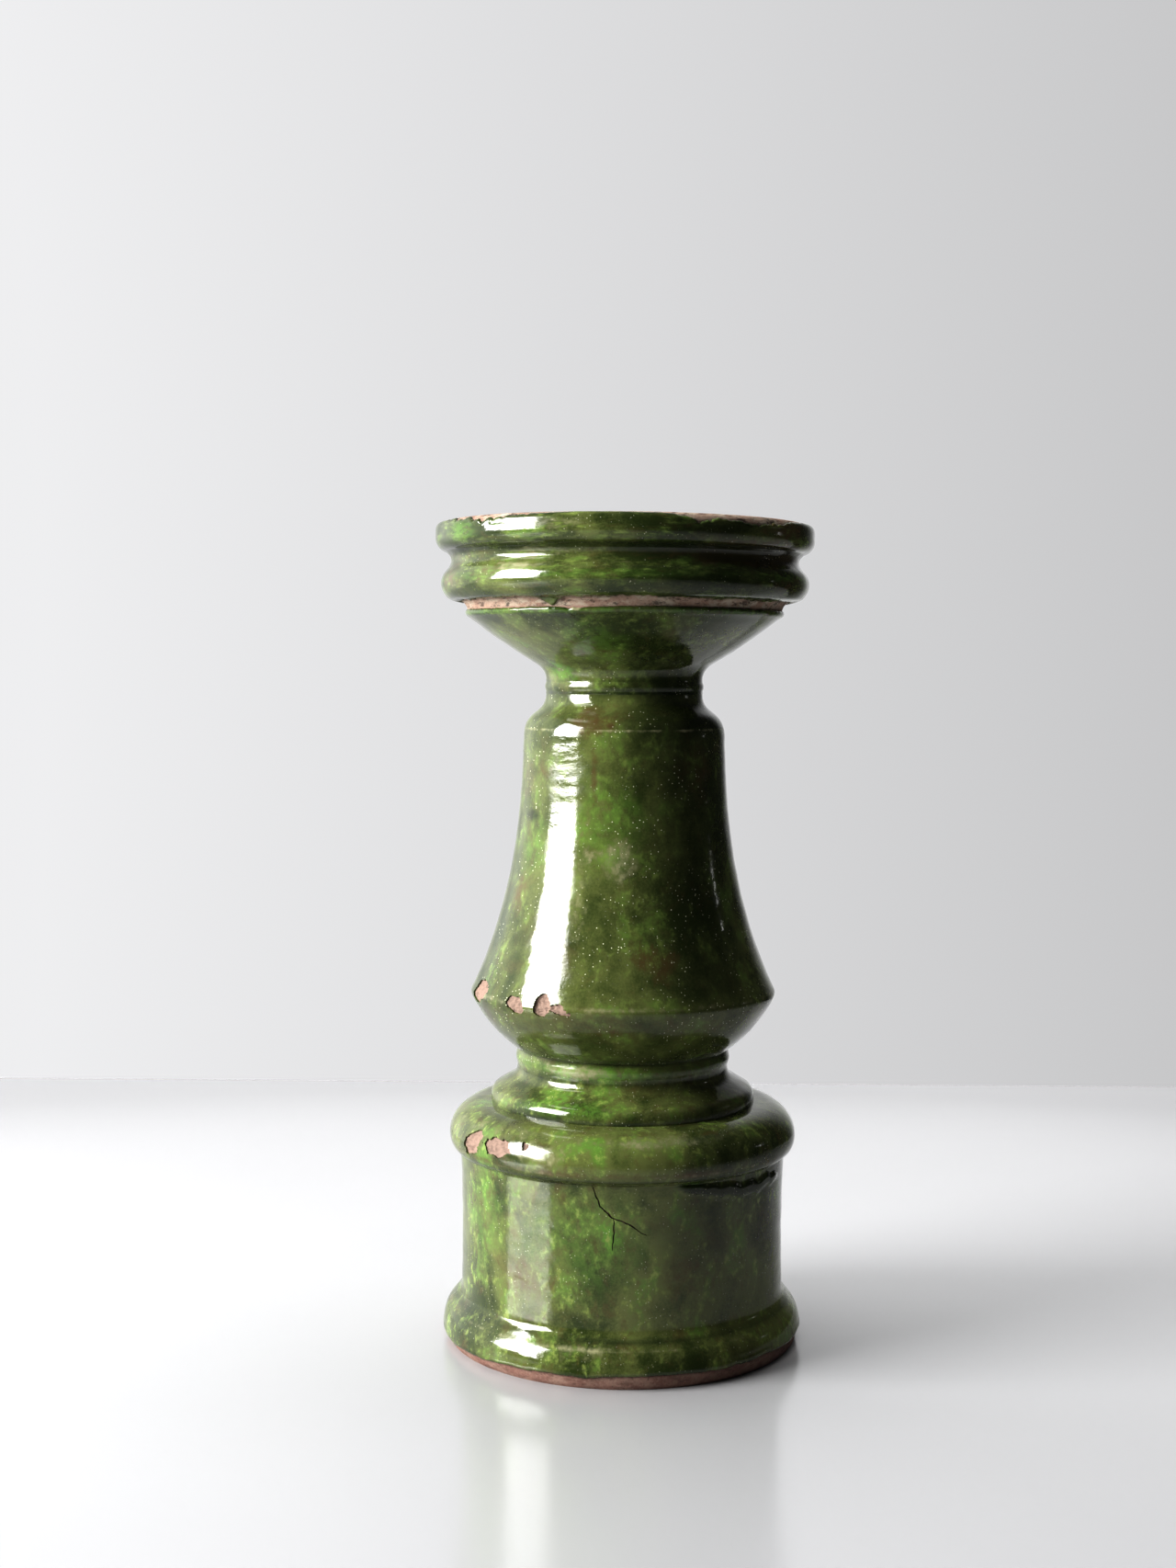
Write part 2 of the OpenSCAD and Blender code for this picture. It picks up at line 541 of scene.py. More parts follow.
class Wheel:
    """Turns outlines into surfaces, and does the mesh work on them."""

    SEGMENTS = 256
    WELD, SLIVER = 1e-4, 0.01

    @classmethod
    def turn(cls, outline: Outline, closed: bool = False) -> bmesh.types.BMesh:
        """Spins an outline round the upright axis.

        Args:
            outline: The line, with the open air on its right.
            closed: Whether the line's end is joined to its start, which makes a solid.

        Returns:
            The mesh in millimetres, with its faces towards the open air.
        """
        mesh = bmesh.new()
        verts = [mesh.verts.new((point.x, 0, point.y)) for point in outline.points]
        edges = [mesh.edges.new(pair) for pair in zip(verts, verts[1:])]
        if closed:
            edges.append(mesh.edges.new((verts[-1], verts[0])))
        along = outline.points[1] - outline.points[0]
        outward = Vector((along.y, 0, -along.x))
        bmesh.ops.spin(
            mesh, geom=verts + edges, cent=(0, 0, 0), axis=(0, 0, 1),
            angle=math.tau, steps=cls.SEGMENTS, use_merge=True,
        )
        bmesh.ops.remove_doubles(mesh, verts=mesh.verts[:], dist=cls.WELD)
        mesh.normal_update()
        mesh.faces.ensure_lookup_table()
        first = mesh.edges.get(verts[:2]) if verts[0].is_valid and verts[1].is_valid else None
        face = first.link_faces[0] if first and first.link_faces else mesh.faces[0]
        if face.normal.dot(outward) < 0:
            bmesh.ops.reverse_faces(mesh, faces=mesh.faces[:])
        return mesh

    @staticmethod
    def refine(mesh: bmesh.types.BMesh, margin: Field, reaches: Sequence[float]) -> None:
        """Divides the faces near the line where margin is 0, once for each reach."""
        for reach in reaches:
            value = {vert: abs(margin(vert.co)) for vert in mesh.verts}
            near = [edge for edge in mesh.edges if min(value[v] for v in edge.verts) < reach]
            bmesh.ops.subdivide_edges(mesh, edges=near, cuts=1, use_grid_fill=True)

    @classmethod
    def trim(cls, mesh: bmesh.types.BMesh, margin: Field) -> None:
        """Cuts a sheet along the line where margin is 0, and keeps the positive side.

        Args:
            mesh: The sheet, which is changed.
            margin: Millimetres inside the part that is kept.
        """
        value = {vert: margin(vert.co) for vert in mesh.verts}
        crossed = [
            face for face in mesh.faces
            if min(value[v] for v in face.verts) < 0 < max(value[v] for v in face.verts)
        ]
        bmesh.ops.triangulate(mesh, faces=crossed)
        moves: dict[bmesh.types.BMVert, tuple[float, Vector]] = {}
        for edge in mesh.edges:
            a, b = edge.verts
            if value[a] * value[b] < 0:
                share = value[a] / (value[a] - value[b])
                vert = a if share < 0.5 else b
                step = min(share, 1 - share)
                if vert not in moves or step < moves[vert][0]:
                    moves[vert] = (step, a.co.lerp(b.co, share))
        for vert, (_, place) in moves.items():
            vert.co = place
            value[vert] = 0.0
        gone = [face for face in mesh.faces if sum(value[v] for v in face.verts) <= 0]
        bmesh.ops.delete(mesh, geom=gone, context="FACES")
        bmesh.ops.remove_doubles(mesh, verts=mesh.verts[:], dist=cls.SLIVER)

    @staticmethod
    def thicken(mesh: bmesh.types.BMesh, thickness: Field) -> None:
        """Makes a closed coat of a sheet, which stays as the coat's inner side.

        Args:
            mesh: The sheet, which is changed.
            thickness: How far the outer side stands off at a place.
        """
        mesh.normal_update()
        grown = bmesh.ops.extrude_face_region(mesh, geom=mesh.faces[:], use_keep_orig=True)
        outer = [item for item in grown["geom"] if isinstance(item, bmesh.types.BMVert)]
        normals = {vert: vert.normal.copy() for vert in outer}
        for vert in outer:
            vert.co += normals[vert] * thickness(vert.co)
        bmesh.ops.recalc_face_normals(mesh, faces=mesh.faces[:])

    @staticmethod
    def paint(mesh: bmesh.types.BMesh, mark: Tint | ClayMark, amount: Field) -> None:
        """Writes a number at each vertex, for the material to read."""
        layer = mesh.verts.layers.float.new(mark.value)
        for vert in mesh.verts:
            vert[layer] = amount(vert.co)

    @staticmethod
    def throw(mesh: bmesh.types.BMesh) -> None:
        """Gives the mesh the unevenness that the whole candlestick has."""
        for vert in mesh.verts:
            vert.co = Hand.throw(vert.co)


def into_scene(
    mesh: bmesh.types.BMesh, name: str, material: bpy.types.Material, sharp: float
) -> bpy.types.Object:
    """Puts a mesh in the scene as a smooth object.

    Args:
        mesh: The mesh in metres. It is freed.
        name: The name of the object and of its mesh.
        material: What it is made of.
        sharp: The angle past which an edge stays sharp, in degrees.

    Returns:
        The object.
    """
    data = bpy.data.meshes.new(name)
    mesh.to_mesh(data)
    mesh.free()
    data.polygons.foreach_set("use_smooth", [True] * len(data.polygons))
    data.set_sharp_from_angle(angle=math.radians(sharp))
    data.materials.append(material)
    made = bpy.data.objects.new(name, data)
    bpy.context.scene.collection.objects.link(made)
    return made


@dataclass(frozen=True)
class Piece:
    """A finished piece and what it stands for."""

    name: str
    slot: str
    nodes: tuple[str, ...]

    SHARP = 50

    def finish(self, mesh: bmesh.types.BMesh, material: bpy.types.Material) -> None:
        """Args:
            mesh: The piece in millimetres. It is freed.
            material: What it is made of.
        """
        bmesh.ops.scale(mesh, vec=(MM, MM, MM), verts=mesh.verts[:])
        made = into_scene(mesh, self.name, material, self.SHARP)
        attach(made, BODY)
        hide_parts(*self.nodes)
        faces = len(made.data.polygons)
        log.info("%s: %d faces, for %s", self.name, faces, ", ".join(self.nodes))


# ---- Shader expressions ----


class Signal:
    """A socket of a material's node tree that arithmetic can be written on."""

    def __init__(self, graph: "Graph", socket: bpy.types.NodeSocket) -> None:
        """Wraps the socket that gives the value."""
        self.graph = graph
        self.socket = socket

    def _math(self, operation: str, first: object, second: object = 0.0) -> "Signal":
        """Adds one Math node and gives its result."""
        return self.graph.node("ShaderNodeMath", {"operation": operation}, {0: first, 1: second})

    def __add__(self, other: object) -> "Signal":
        """self + other."""
        return self._math("ADD", self, other)

    def __radd__(self, other: object) -> "Signal":
        """other + self."""
        return self._math("ADD", other, self)

    def __sub__(self, other: object) -> "Signal":
        """self - other."""
        return self._math("SUBTRACT", self, other)

    def __rsub__(self, other: object) -> "Signal":
        """other - self."""
        return self._math("SUBTRACT", other, self)

    def __mul__(self, other: object) -> "Signal":
        """self * other."""
        return self._math("MULTIPLY", self, other)

    def __rmul__(self, other: object) -> "Signal":
        """other * self."""
        return self._math("MULTIPLY", other, self)

    def clamped(self) -> "Signal":
        """The value held between 0 and 1."""
        return self.between(0.0, 1.0, smooth=False)

    def between(self, low: float, high: float, smooth: bool = True) -> "Signal":
        """A step from 0 where the value is low to 1 where it is high.

        Args:
            low: The value that gives 0.
            high: The value that gives 1.
            smooth: Whether the step is eased at its ends.

        Returns:
            The step.
        """
        kind = "SMOOTHSTEP" if smooth else "LINEAR"
        settings = {"interpolation_type": kind, "clamp": True}
        inputs = {"Value": self, "From Min": low, "From Max": high, "To Min": 0.0, "To Max": 1.0}
        return self.graph.node("ShaderNodeMapRange", settings, inputs)


class Graph:
    """A node tree that is written as expressions."""

    MIX_FACTOR, MIX_FIRST, MIX_SECOND, MIX_RESULT = 0, 6, 7, 2

    def __init__(self, tree: bpy.types.NodeTree) -> None:
        """Wraps the node tree."""
        self.tree = tree

    def node(
        self,
        kind: str,
        settings: Mapping[str, object] | None = None,
        inputs: Mapping[str | int, object] | None = None,
        output: str | int = 0,
    ) -> Signal:
        """Makes a node of any kind.

        Args:
            kind: The node's type.
            settings: Its own settings. They are set first, since some change its sockets.
            inputs: The value of, or the signal into, each socket.
            output: Which of its outputs is wanted.

        Returns:
            The output, as a signal.
        """
        made = self.tree.nodes.new(kind)
        for name, value in (settings or {}).items():
            setattr(made, name, value)
        for key, value in (inputs or {}).items():
            self.feed(made.inputs[key], value)
        return Signal(self, made.outputs[output])

    def feed(self, socket: bpy.types.NodeSocket, value: object) -> None:
        """Links a signal to a socket, or sets its value."""
        if isinstance(value, Signal):
            self.tree.links.new(value.socket, socket)
        else:
            socket.default_value = value

    def mix(self, first: object, second: object, share: object) -> Signal:
        """A colour that turns from first to second as share goes from 0 to 1."""
        inputs = {self.MIX_FACTOR: share, self.MIX_FIRST: first, self.MIX_SECOND: second}
        settings = {"data_type": "RGBA", "clamp_factor": True}
        return self.node("ShaderNodeMix", settings, inputs, self.MIX_RESULT)

    def facing(self, direction: Signal, towards: tuple[float, float, float]) -> Signal:
        """How far a direction points towards another, from -1 to 1."""
        inputs = {0: direction, 1: Vector(towards).normalized()}
        return self.node("ShaderNodeVectorMath", {"operation": "DOT_PRODUCT"}, inputs, "Value")


class Recipe(Graph):
    """The node tree of one material."""

    def __init__(self, name: str) -> None:
        """Starts a material that has one Principled shader."""
        self.material = bpy.data.materials.new(name)
        self.material.use_nodes = True
        super().__init__(self.material.node_tree)
        self.shader = self.tree.nodes["Principled BSDF"]
        self.place = self.node("ShaderNodeTexCoord", output="Object")

    def stretched(self, stretch: tuple[float, float, float], shift: float = 0.0) -> Signal:
        """The place on the piece, with its pattern stretched and shifted."""
        inputs = {"Vector": self.place, "Scale": stretch, "Location": (shift, shift, shift)}
        return self.node("ShaderNodeMapping", {}, inputs)

    def cloud(
        self,
        size: float,
        detail: float = 3.0,
        rough: float = 0.5,
        stretch: tuple[float, float, float] = (1, 1, 1),
        shift: float = 0.0,
        swirl: float = 0.0,
    ) -> Signal:
        """Noise from 0 to 1, with lumps about size millimetres apart."""
        inputs = {
            "Vector": self.stretched(stretch, shift),
            "Scale": 1 / (size * MM),
            "Detail": detail,
            "Roughness": rough,
            "Distortion": swirl,
        }
        return self.node("ShaderNodeTexNoise", {}, inputs)

    def dots(self, size: float, shift: float = 0.0) -> tuple[Signal, Signal]:
        """Scattered cells: the distance from each one's middle, and a random number for each."""
        inputs = {"Vector": self.stretched((1, 1, 1), shift), "Scale": 1 / (size * MM)}
        distance = self.node("ShaderNodeTexVoronoi", {}, inputs)
        colour = self.node("ShaderNodeTexVoronoi", {}, inputs, "Color")
        return distance, self.node("ShaderNodeSeparateColor", {}, {0: colour})

    def painted(self, mark: Tint | ClayMark) -> Signal:
        """The number painted on the mesh for a mark."""
        settings = {"attribute_type": "GEOMETRY", "attribute_name": mark.value}
        return self.node("ShaderNodeAttribute", settings, output="Fac")

    def relief(self, height_mm: Signal) -> None:
        """Feeds a height in millimetres to the shader's normal."""
        inputs = {"Strength": 1.0, "Distance": MM, "Height": height_mm}
        self.feed(self.shader.inputs["Normal"], self.node("ShaderNodeBump", {}, inputs))

    def set(self, **values: object) -> None:
        """Sets or links the shader's own sockets, with spaces in their names written as _."""
        for name, value in values.items():
            self.feed(self.shader.inputs[name.replace("_", " ")], value)


Colour = tuple[float, float, float, float]


def rgb(red: float, green: float, blue: float) -> Colour:
    """An opaque colour, from linear light."""
    return (red, green, blue, 1.0)


# ---- Finishes ----


@dataclass(frozen=True)
class CopperGlaze:
    """Glossy copper-green lead glaze, broken into mottles where it ran thinner.

    Attributes:
        name: The material's name.
        mottle: How much of it is broken into bright and yellowish flecks.
        rust: How much of it burns brown.
        streak: How the mottles are squeezed along X, Y and Z. A low last number draws them
            out upright.
        shift: Moves the patterns, so that no two sections have the same.
        specks: How strongly the fine pale specks and painted glints show.
        shade: How far the whole coat leans to its deep colour.
        soft: How softly the deep and the light colour blend.
    """

    name: str
    mottle: float = 0.5
    rust: float = 0.3
    streak: tuple[float, float, float] = (1, 1, 0.6)
    shift: float = 0.0
    specks: float = 0.4
    shade: float = 0.0
    soft: float = 0.0

    deep: Colour = rgb(0.025, 0.037, 0.009)
    body: Colour = rgb(0.112, 0.129, 0.042)
    vivid: Colour = rgb(0.095, 0.190, 0.032)
    straw: Colour = rgb(0.310, 0.310, 0.110)
    burnt: Colour = rgb(0.078, 0.052, 0.020)
    # The pale of glaze run thin, also used for painted sheen.
    thin_glaze_and_sheen: Colour = rgb(0.280, 0.272, 0.160)
    # The near-black of glaze pooled thick, also used for painted shade.
    thick: Colour = rgb(0.008, 0.014, 0.004)
    # Pale specks, partly painted glints off pinholes.
    speck_and_glint: Colour = rgb(0.650, 0.650, 0.480)

    GLOSS, GRIMY, DULLED = 0.09, 0.12, 0.1
    PEEL, FLOW, DRAG, RIPPLE, PIT = 0.032, 0.11, 0.05, 0.17, 0.09

    def make(self) -> bpy.types.Material:
        """Builds the material."""
        recipe = Recipe(self.name)
        colour = self._colour(recipe)
        recipe.set(Base_Color=colour, Specular_IOR_Level=0.5, IOR=1.5)
        grime = recipe.cloud(9, 4, 0.6, shift=self.shift + 5).between(0.45, 0.75)
        worn = recipe.painted(Tint.PALE) + recipe.painted(Tint.RIPPLE)
        recipe.set(Roughness=self.GLOSS + self.GRIMY * grime + self.DULLED * worn)
        recipe.relief(self._skin(recipe))
        return recipe.material

    def _colour(self, recipe: Recipe) -> Signal:
        """The colour, from broad clouds down to flecks."""
        patch = recipe.cloud(13, 4, 0.6, self.streak, self.shift + 1, 0.3)
        fleck = recipe.cloud(3.2, 4, 0.62, self.streak, self.shift + 2)
        pool_and_shade = recipe.painted(Tint.POOL_AND_SHADE) * 0.85
        colour = recipe.mix(self.deep, self.body, self._lift(recipe, patch))
        colour = recipe.mix(colour, self.vivid, self._bright(recipe, patch, fleck))
        straw = fleck.between(0.50, 0.74) * patch.between(0.40, 0.60) * (0.85 * self.mottle)
        colour = recipe.mix(colour, self.straw, straw.clamped())
        colour = recipe.mix(colour, self.burnt, self._brown(recipe, fleck))
        # Pooled glaze, and painted shade in creases and on the side away from the window.
        colour = recipe.mix(colour, self.thick, pool_and_shade.clamped())
        # Thin glaze on edges and pale patches, and a painted reflection in a few places.
        colour = recipe.mix(colour, self.thin_glaze_and_sheen, self._broken(recipe, Tint.PALE, fleck))
        # Pale specks, partly painted glints of light.
        return recipe.mix(colour, self.speck_and_glint, self._specks_and_glints(recipe))

    def _lift(self, recipe: Recipe, patch: Signal) -> Signal:
        """Where the coat turns from its deep colour to its body colour."""
        broad = recipe.cloud(46, 3, 0.55, (1, 1, 0.8), self.shift, 0.4)
        grain = recipe.cloud(0.9, 3, 0.6, (1, 1, 1), self.shift + 3)
        depth = broad * 0.55 + patch * 0.45 + (grain - 0.5) * 0.16
        return depth.between(0.38 + self.shade - self.soft, 0.60 + self.shade + self.soft)

    def _bright(self, recipe: Recipe, patch: Signal, fleck: Signal) -> Signal:
        """Where the copper shows bright green."""
        bright = (patch * 0.6 + fleck * 0.4).between(0.50, 0.68) * (0.25 + self.mottle)
        return (bright + recipe.painted(Tint.VIVID) * fleck.between(0.3, 0.6)).clamped()

    def _brown(self, recipe: Recipe, fleck: Signal) -> Signal:
        """Where the coat burns brown: broad clouds, small patches, and stains."""
        cloud = recipe.cloud(30, 5, 0.62, (1, 1, 1.2), self.shift + 4, 0.8).between(0.56, 0.72)
        tan = recipe.cloud(6.5, 5, 0.66, self.streak, self.shift + 11, 0.4).between(0.53, 0.68)
        brown = cloud * self.rust * (0.45 + fleck * 0.9) + tan * (0.75 * self.mottle)
        return ((brown + self._broken(recipe, Tint.RUST, fleck)) * 0.9).clamped()

    def _specks_and_glints(self, recipe: Recipe) -> Signal:
        """Where fine pale specks show, in loose clusters: partly pale specks and dust on the glaze,
        partly painted glints of light off its pinholes.
        """
        distance, chance = recipe.dots(1.4, self.shift)
        cluster = recipe.cloud(14, 2, 0.5, shift=self.shift + 10).between(0.40, 0.60)
        speck = (1 - distance.between(0.11, 0.21)) * chance.between(0.50, 0.52) * cluster
        return (speck * self.specks).clamped()

    @staticmethod
    def _broken(recipe: Recipe, tint: Tint, fleck: Signal) -> Signal:
        """The strength of a painted tint, broken up by the flecks."""
        return (recipe.painted(tint) * 1.6 - fleck * 1.6).between(-0.50, 0.60)

    def _skin(self, recipe: Recipe) -> Signal:
        """The glaze's relief in millimetres: faint orange peel, throwing lines and pinholes."""
        peel = recipe.cloud(2.4, 2, 0.5, shift=self.shift + 6) * self.PEEL
        flow = recipe.cloud(9, 2, 0.5, (1, 1, 2.2), self.shift + 7) * self.FLOW
        drag = recipe.cloud(5.0, 4, 0.55, (0.6, 0.6, 1.3), self.shift + 8, 0.6) - 0.5
        lines = drag * self.DRAG + drag * recipe.painted(Tint.RIPPLE) * self.RIPPLE
        distance, chance = recipe.dots(1.5, self.shift + 9)
        pit = (1 - distance.between(0.05, 0.16)) * chance.between(0.70, 0.72)
        return peel + flow + lines - pit * self.PIT


@dataclass(frozen=True)
class Earthenware:
    """Bare fired earthenware, pinkish red, with grime in its pores.

    Attributes:
        name: The material's name.
        body: The red of most of it.
        light: The pink of its paler clouds.
        fresh: The colour of a new break.
        lime: The colour of its chalky patches.
        grime: The colour of the dirt in it.
        grime_share: How dirty it is.
        lime_share: How chalky it is.
    """

    name: str
    body: Colour = rgb(0.205, 0.117, 0.092)
    light: Colour = rgb(0.335, 0.222, 0.176)
    fresh: Colour = rgb(0.225, 0.158, 0.125)
    lime: Colour = rgb(0.415, 0.350, 0.275)
    grime: Colour = rgb(0.026, 0.017, 0.011)
    grime_share: float = 0.35
    lime_share: float = 0.15

    GRAIN, SAND, GROG = 0.12, 0.04, 0.06

    def make(self) -> bpy.types.Material:
        """Builds the material."""
        recipe = Recipe(self.name)
        cloud = recipe.cloud(11, 4, 0.6, (1, 1, 1.6))
        grain = recipe.cloud(1.1, 4, 0.7)
        distance, chance = recipe.dots(1.6)
        grog = (1 - distance.between(0.18, 0.30)) * chance.between(0.60, 0.66)
        colour = recipe.mix(self.body, self.light, (cloud * 0.6 + grain * 0.5).between(0.4, 0.75))
        lime = recipe.cloud(7, 5, 0.7, (1, 1, 2.0), 6.0).between(0.46, 0.60) * self.lime_share
        colour = recipe.mix(colour, self.lime, lime)
        colour = recipe.mix(colour, self.fresh, recipe.painted(ClayMark.FRESH).clamped())
        dirt = recipe.cloud(5, 5, 0.7, (1, 1, 2.5), 3.0).between(0.50, 0.66) * self.grime_share
        dirt = dirt + grog * 0.2 + recipe.painted(ClayMark.SOOT)
        colour = recipe.mix(colour, self.grime, dirt.clamped())
        recipe.set(Base_Color=colour, Roughness=0.72 + 0.2 * grain, Specular_IOR_Level=0.3)
        sand = recipe.cloud(0.35, 2, 0.5)
        recipe.relief(grain * self.GRAIN + sand * self.SAND - grog * self.GROG)
        return recipe.material


# ---- The sections ----


@dataclass
class Section(ABC):
    """One thrown section: a clay wall, and the coat of glaze on its outside.

    Attributes:
        glaze: How thick the coat is.
        gap: How far the clay is kept off the coat's inner side.
        pitch: The spacing of the outline's points.
        fine_pitch: Their spacing in the fine stretches.
        tooth: How rough the bare clay is.
        tooth_size: How far apart its bumps are.
        chips: Where flakes have broken off.
        hairlines: The cracks in the coat.
        edges: Where the coat ends.
        marks: The stains and bands of tint in the coat.
        rolls: The thick runs of glaze.
        fine: The stretches that need close spacing, as pairs of levels.
        clay_node: The CAD node of the wall.
        glaze_node: The CAD node of the coat.
    """

    glaze: float = 0.7
    gap: float = 0.02
    pitch: float = 1.2
    fine_pitch: float = 0.55
    tooth: float = 0.05
    tooth_size: float = 2.2
    chips: tuple[Chip, ...] = ()
    hairlines: tuple[Hairline, ...] = ()
    edges: tuple[GlazeEdge, ...] = ()
    marks: tuple[Stain | Band, ...] = ()
    rolls: tuple[Roll, ...] = ()
    fine: tuple[tuple[float, float], ...] = ()

    clay_node: ClassVar[str]
    glaze_node: ClassVar[str]

    HIDDEN_PITCH = 2.5
    FLOW, FLOW_SIZE = 0.12, 13
    POOL_DEPTH = 0.2
    LIP, LIP_WIDTH, LIP_REACH = 0.3, 1.3, 4
    ROUNDED, THINNEST = 0.9, 0.0009
    COARSE_CUTS = (1.8, 0.8)
    FINE_CUTS = (2.0, 0.9, 0.45)
    FLAKE_CUTS = (1.0, 0.6)
    GRIMY_RIM = 0.35

    @abstractmethod
    def outside(self) -> Outline:
        """The clay's outer line, read upwards."""

    @abstractmethod
    def hollow(self) -> Outline:
        """The clay's inner line, read upwards."""

    def spacing(self, at: Vector) -> float:
        """How far apart the outline's points are at one of its points."""
        close = any(low <= at.y <= high for low, high in self.fine)
        return self.fine_pitch if close else self.pitch

    def margin(self, at: Vector) -> float:
        """How far a place lies inside the glaze, past every edge, chip and crack."""
        return min((mark.margin(at) for mark in self.cuts), default=math.inf)

    def thickness(self, at: Vector, edges: Sequence[GlazeEdge]) -> float:
        """How thick the glaze is at a place: uneven where it flowed, and rounded at its edges.

        Args:
            at: The place, in millimetres.
            edges: The edges of the coat.

        Returns:
            The thickness, in millimetres.
        """
        uneven = self.FLOW * lumps(Vector((at.x, at.y, 0.45 * at.z)), self.FLOW_SIZE, 2.0, 2)
        depth = self.glaze * (1 + uneven) + self.POOL_DEPTH * self.tinted(Tint.POOL_AND_SHADE, at)
        depth += sum(roll.rise * roll.amount(at) for roll in self.rolls)
        for edge in edges:
            inside = max(edge.margin(at), 0.0)
            if inside < self.LIP_REACH:
                lip = 1 + self.LIP * hump(inside - self.LIP_WIDTH, 1.0)
                slope = 1 - (1 - min(inside / self.ROUNDED, 1)) ** 2
                depth *= lip * math.sqrt(max(slope, self.THINNEST))
        return depth

    def tinted(self, tint: Tint, at: Vector) -> float:
        """How strong a tint is at a place, from 0 to 1."""
        found = sum(mark.amount(at) for mark in (*self.marks, *self.rolls) if mark.tint is tint)
        return min(found, 1.0)

    def __post_init__(self) -> None:
        """Works out the outer line, and everything that cuts the glaze on it."""
        self.outside_line = self.outside()
        self.flakes = [Flake(chip, self.outside_line.radius_at(chip.height)) for chip in self.chips]
        self.cuts = [*self.edges, *self.flakes, *self.hairlines]

    def coat(self) -> bmesh.types.BMesh:
        """Builds the glaze: a sheet on the clay, cut where it is bare, then thickened."""
        mesh = Wheel.turn(self.coat_line().evened(self.spacing))
        for cut in self.cuts:
            reaches = self.FINE_CUTS if isinstance(cut, Hairline) else self.COARSE_CUTS
            Wheel.refine(mesh, cut.margin, reaches)
        Wheel.trim(mesh, self.margin)
        Wheel.thicken(mesh, lambda at: self.thickness(at, self.edges))
        for tint in Tint:
            Wheel.paint(mesh, tint, lambda at, tint=tint: self.tinted(tint, at))
        Wheel.throw(mesh)
        return mesh

    def coat_line(self) -> Outline:
        """The line that the glaze lies on."""
        return self.outside_line

    def body(self) -> bmesh.types.BMesh:
        """Builds the smooth clay wall, with small faces round its flakes."""
        outer = self.outside_line.evened(self.spacing)
        inner = self.hollow().evened(lambda _: self.HIDDEN_PITCH)
        mesh = Wheel.turn(Outline(outer.points + inner.points[::-1]), closed=True)
        for flake in self.flakes:
            Wheel.refine(mesh, lambda at, flake=flake: max(flake.margin(at), 0.0), self.FLAKE_CUTS)
        return mesh

    def wall(self) -> bmesh.types.BMesh:
        """Builds the clay wall, dished where glaze has flaked off and rough where it is bare."""
        mesh = self.body()
        mesh.normal_update()
        normals = {vert: vert.normal.copy() for vert in mesh.verts}
        for vert in mesh.verts:
            dish = sum(flake.dish(vert.co) for flake in self.flakes)
            bare = self.margin(vert.co) < 1
            tooth = self.tooth * lumps(vert.co, self.tooth_size, 5.0) if bare else 0.0
            vert.co -= normals[vert] * (dish + abs(tooth) + self.gap)
        Wheel.paint(mesh, ClayMark.FRESH, self.fresh)
        Wheel.paint(mesh, ClayMark.SOOT, self.soot)
        Wheel.throw(mesh)
        return mesh

    def fresh(self, at: Vector) -> float:
        """How newly broken the clay is at a place."""
        return max((ease(1.2, 0.2, flake.margin(at)) for flake in self.flakes), default=0.0)

    def soot(self, at: Vector) -> float:
        """How dirty the clay is at a place: cracks hold dirt, and so does clay beside glaze."""
        crack = max((ease(1.0, 0.2, line.margin(at)) for line in self.hairlines), default=0.0)
        rims = [abs(edge.margin(at)) for edge in self.edges]
        return max(crack, self.GRIMY_RIM * ease(0.9, 0.1, min(rims, default=math.inf)))

    def build(self, clay: bpy.types.Material, glaze: bpy.types.Material) -> None:
        """Makes the section's pieces.

        Args:
            clay: The material of the wall.
            glaze: The material of the coat.
        """
        Piece(f"{self.clay_node}_wall", "clay", (self.clay_node,)).finish(self.wall(), clay)
        Piece(f"{self.glaze_node}_coat", "glaze", (self.glaze_node,)).finish(self.coat(), glaze)


@dataclass
class Plinth(Section):
    """The foot moulding, drum and bullnose."""

    foot_r: float = 73.2
    bare_foot: float = 5.0
    drum_r: float = 66.8
    drum_waist: float = 0.55
    bullnose_r: float = 72.0
    bullnose_z: float = 86.0
    disc_r: float = 54.6
    hollow_r: float = 58.5
    hole_r: float = 42.0

    clay_node = "plinth"
    glaze_node = "plinth_glaze"

    def outside(self) -> Outline:
        """The outer line, from the table to the disc."""
        base, top = heights(self.clay_node)
        nose_r, nose_z = self.bullnose_r, self.bullnose_z
        line = Outline().to((self.foot_r - 0.8, base), (self.foot_r, base + 0.8))
        line.to((self.foot_r + 1.2, self.bare_foot))
        # The foot's bulge, the cove above it, and the drum's slightly hollow side.
        line.oval((self.foot_r - 4.2, self.bare_foot), (5.4, 10.8), 3, 72)
        line.oval((self.drum_r + 6, 22), (6, 6), 238, 184, 12)
        line.bow((self.drum_r, 23), (self.drum_r + 0.6, nose_z - 7), -self.drum_waist)
        # The underside of the bullnose and its broad top.
        line.oval((nose_r - 4.9, nose_z), (4.9, 6.3), -75, -8, 12)
        line.oval((nose_r - 14.7, nose_z), (14.7, 12.8), 0, 80)
        return line.to((self.disc_r, top))

    def hollow(self) -> Outline:
        """The inner line, from the table to the hole under the disc."""
        base, top = heights(self.clay_node)
        line = Outline().to((self.hollow_r + 1, base), (self.hollow_r, base + 1))
        line.oval((self.hollow_r - 12, 77.5), (12, 12), 0, 84, 12)
        return line.to((self.hole_r, 90), (self.hole_r, top))


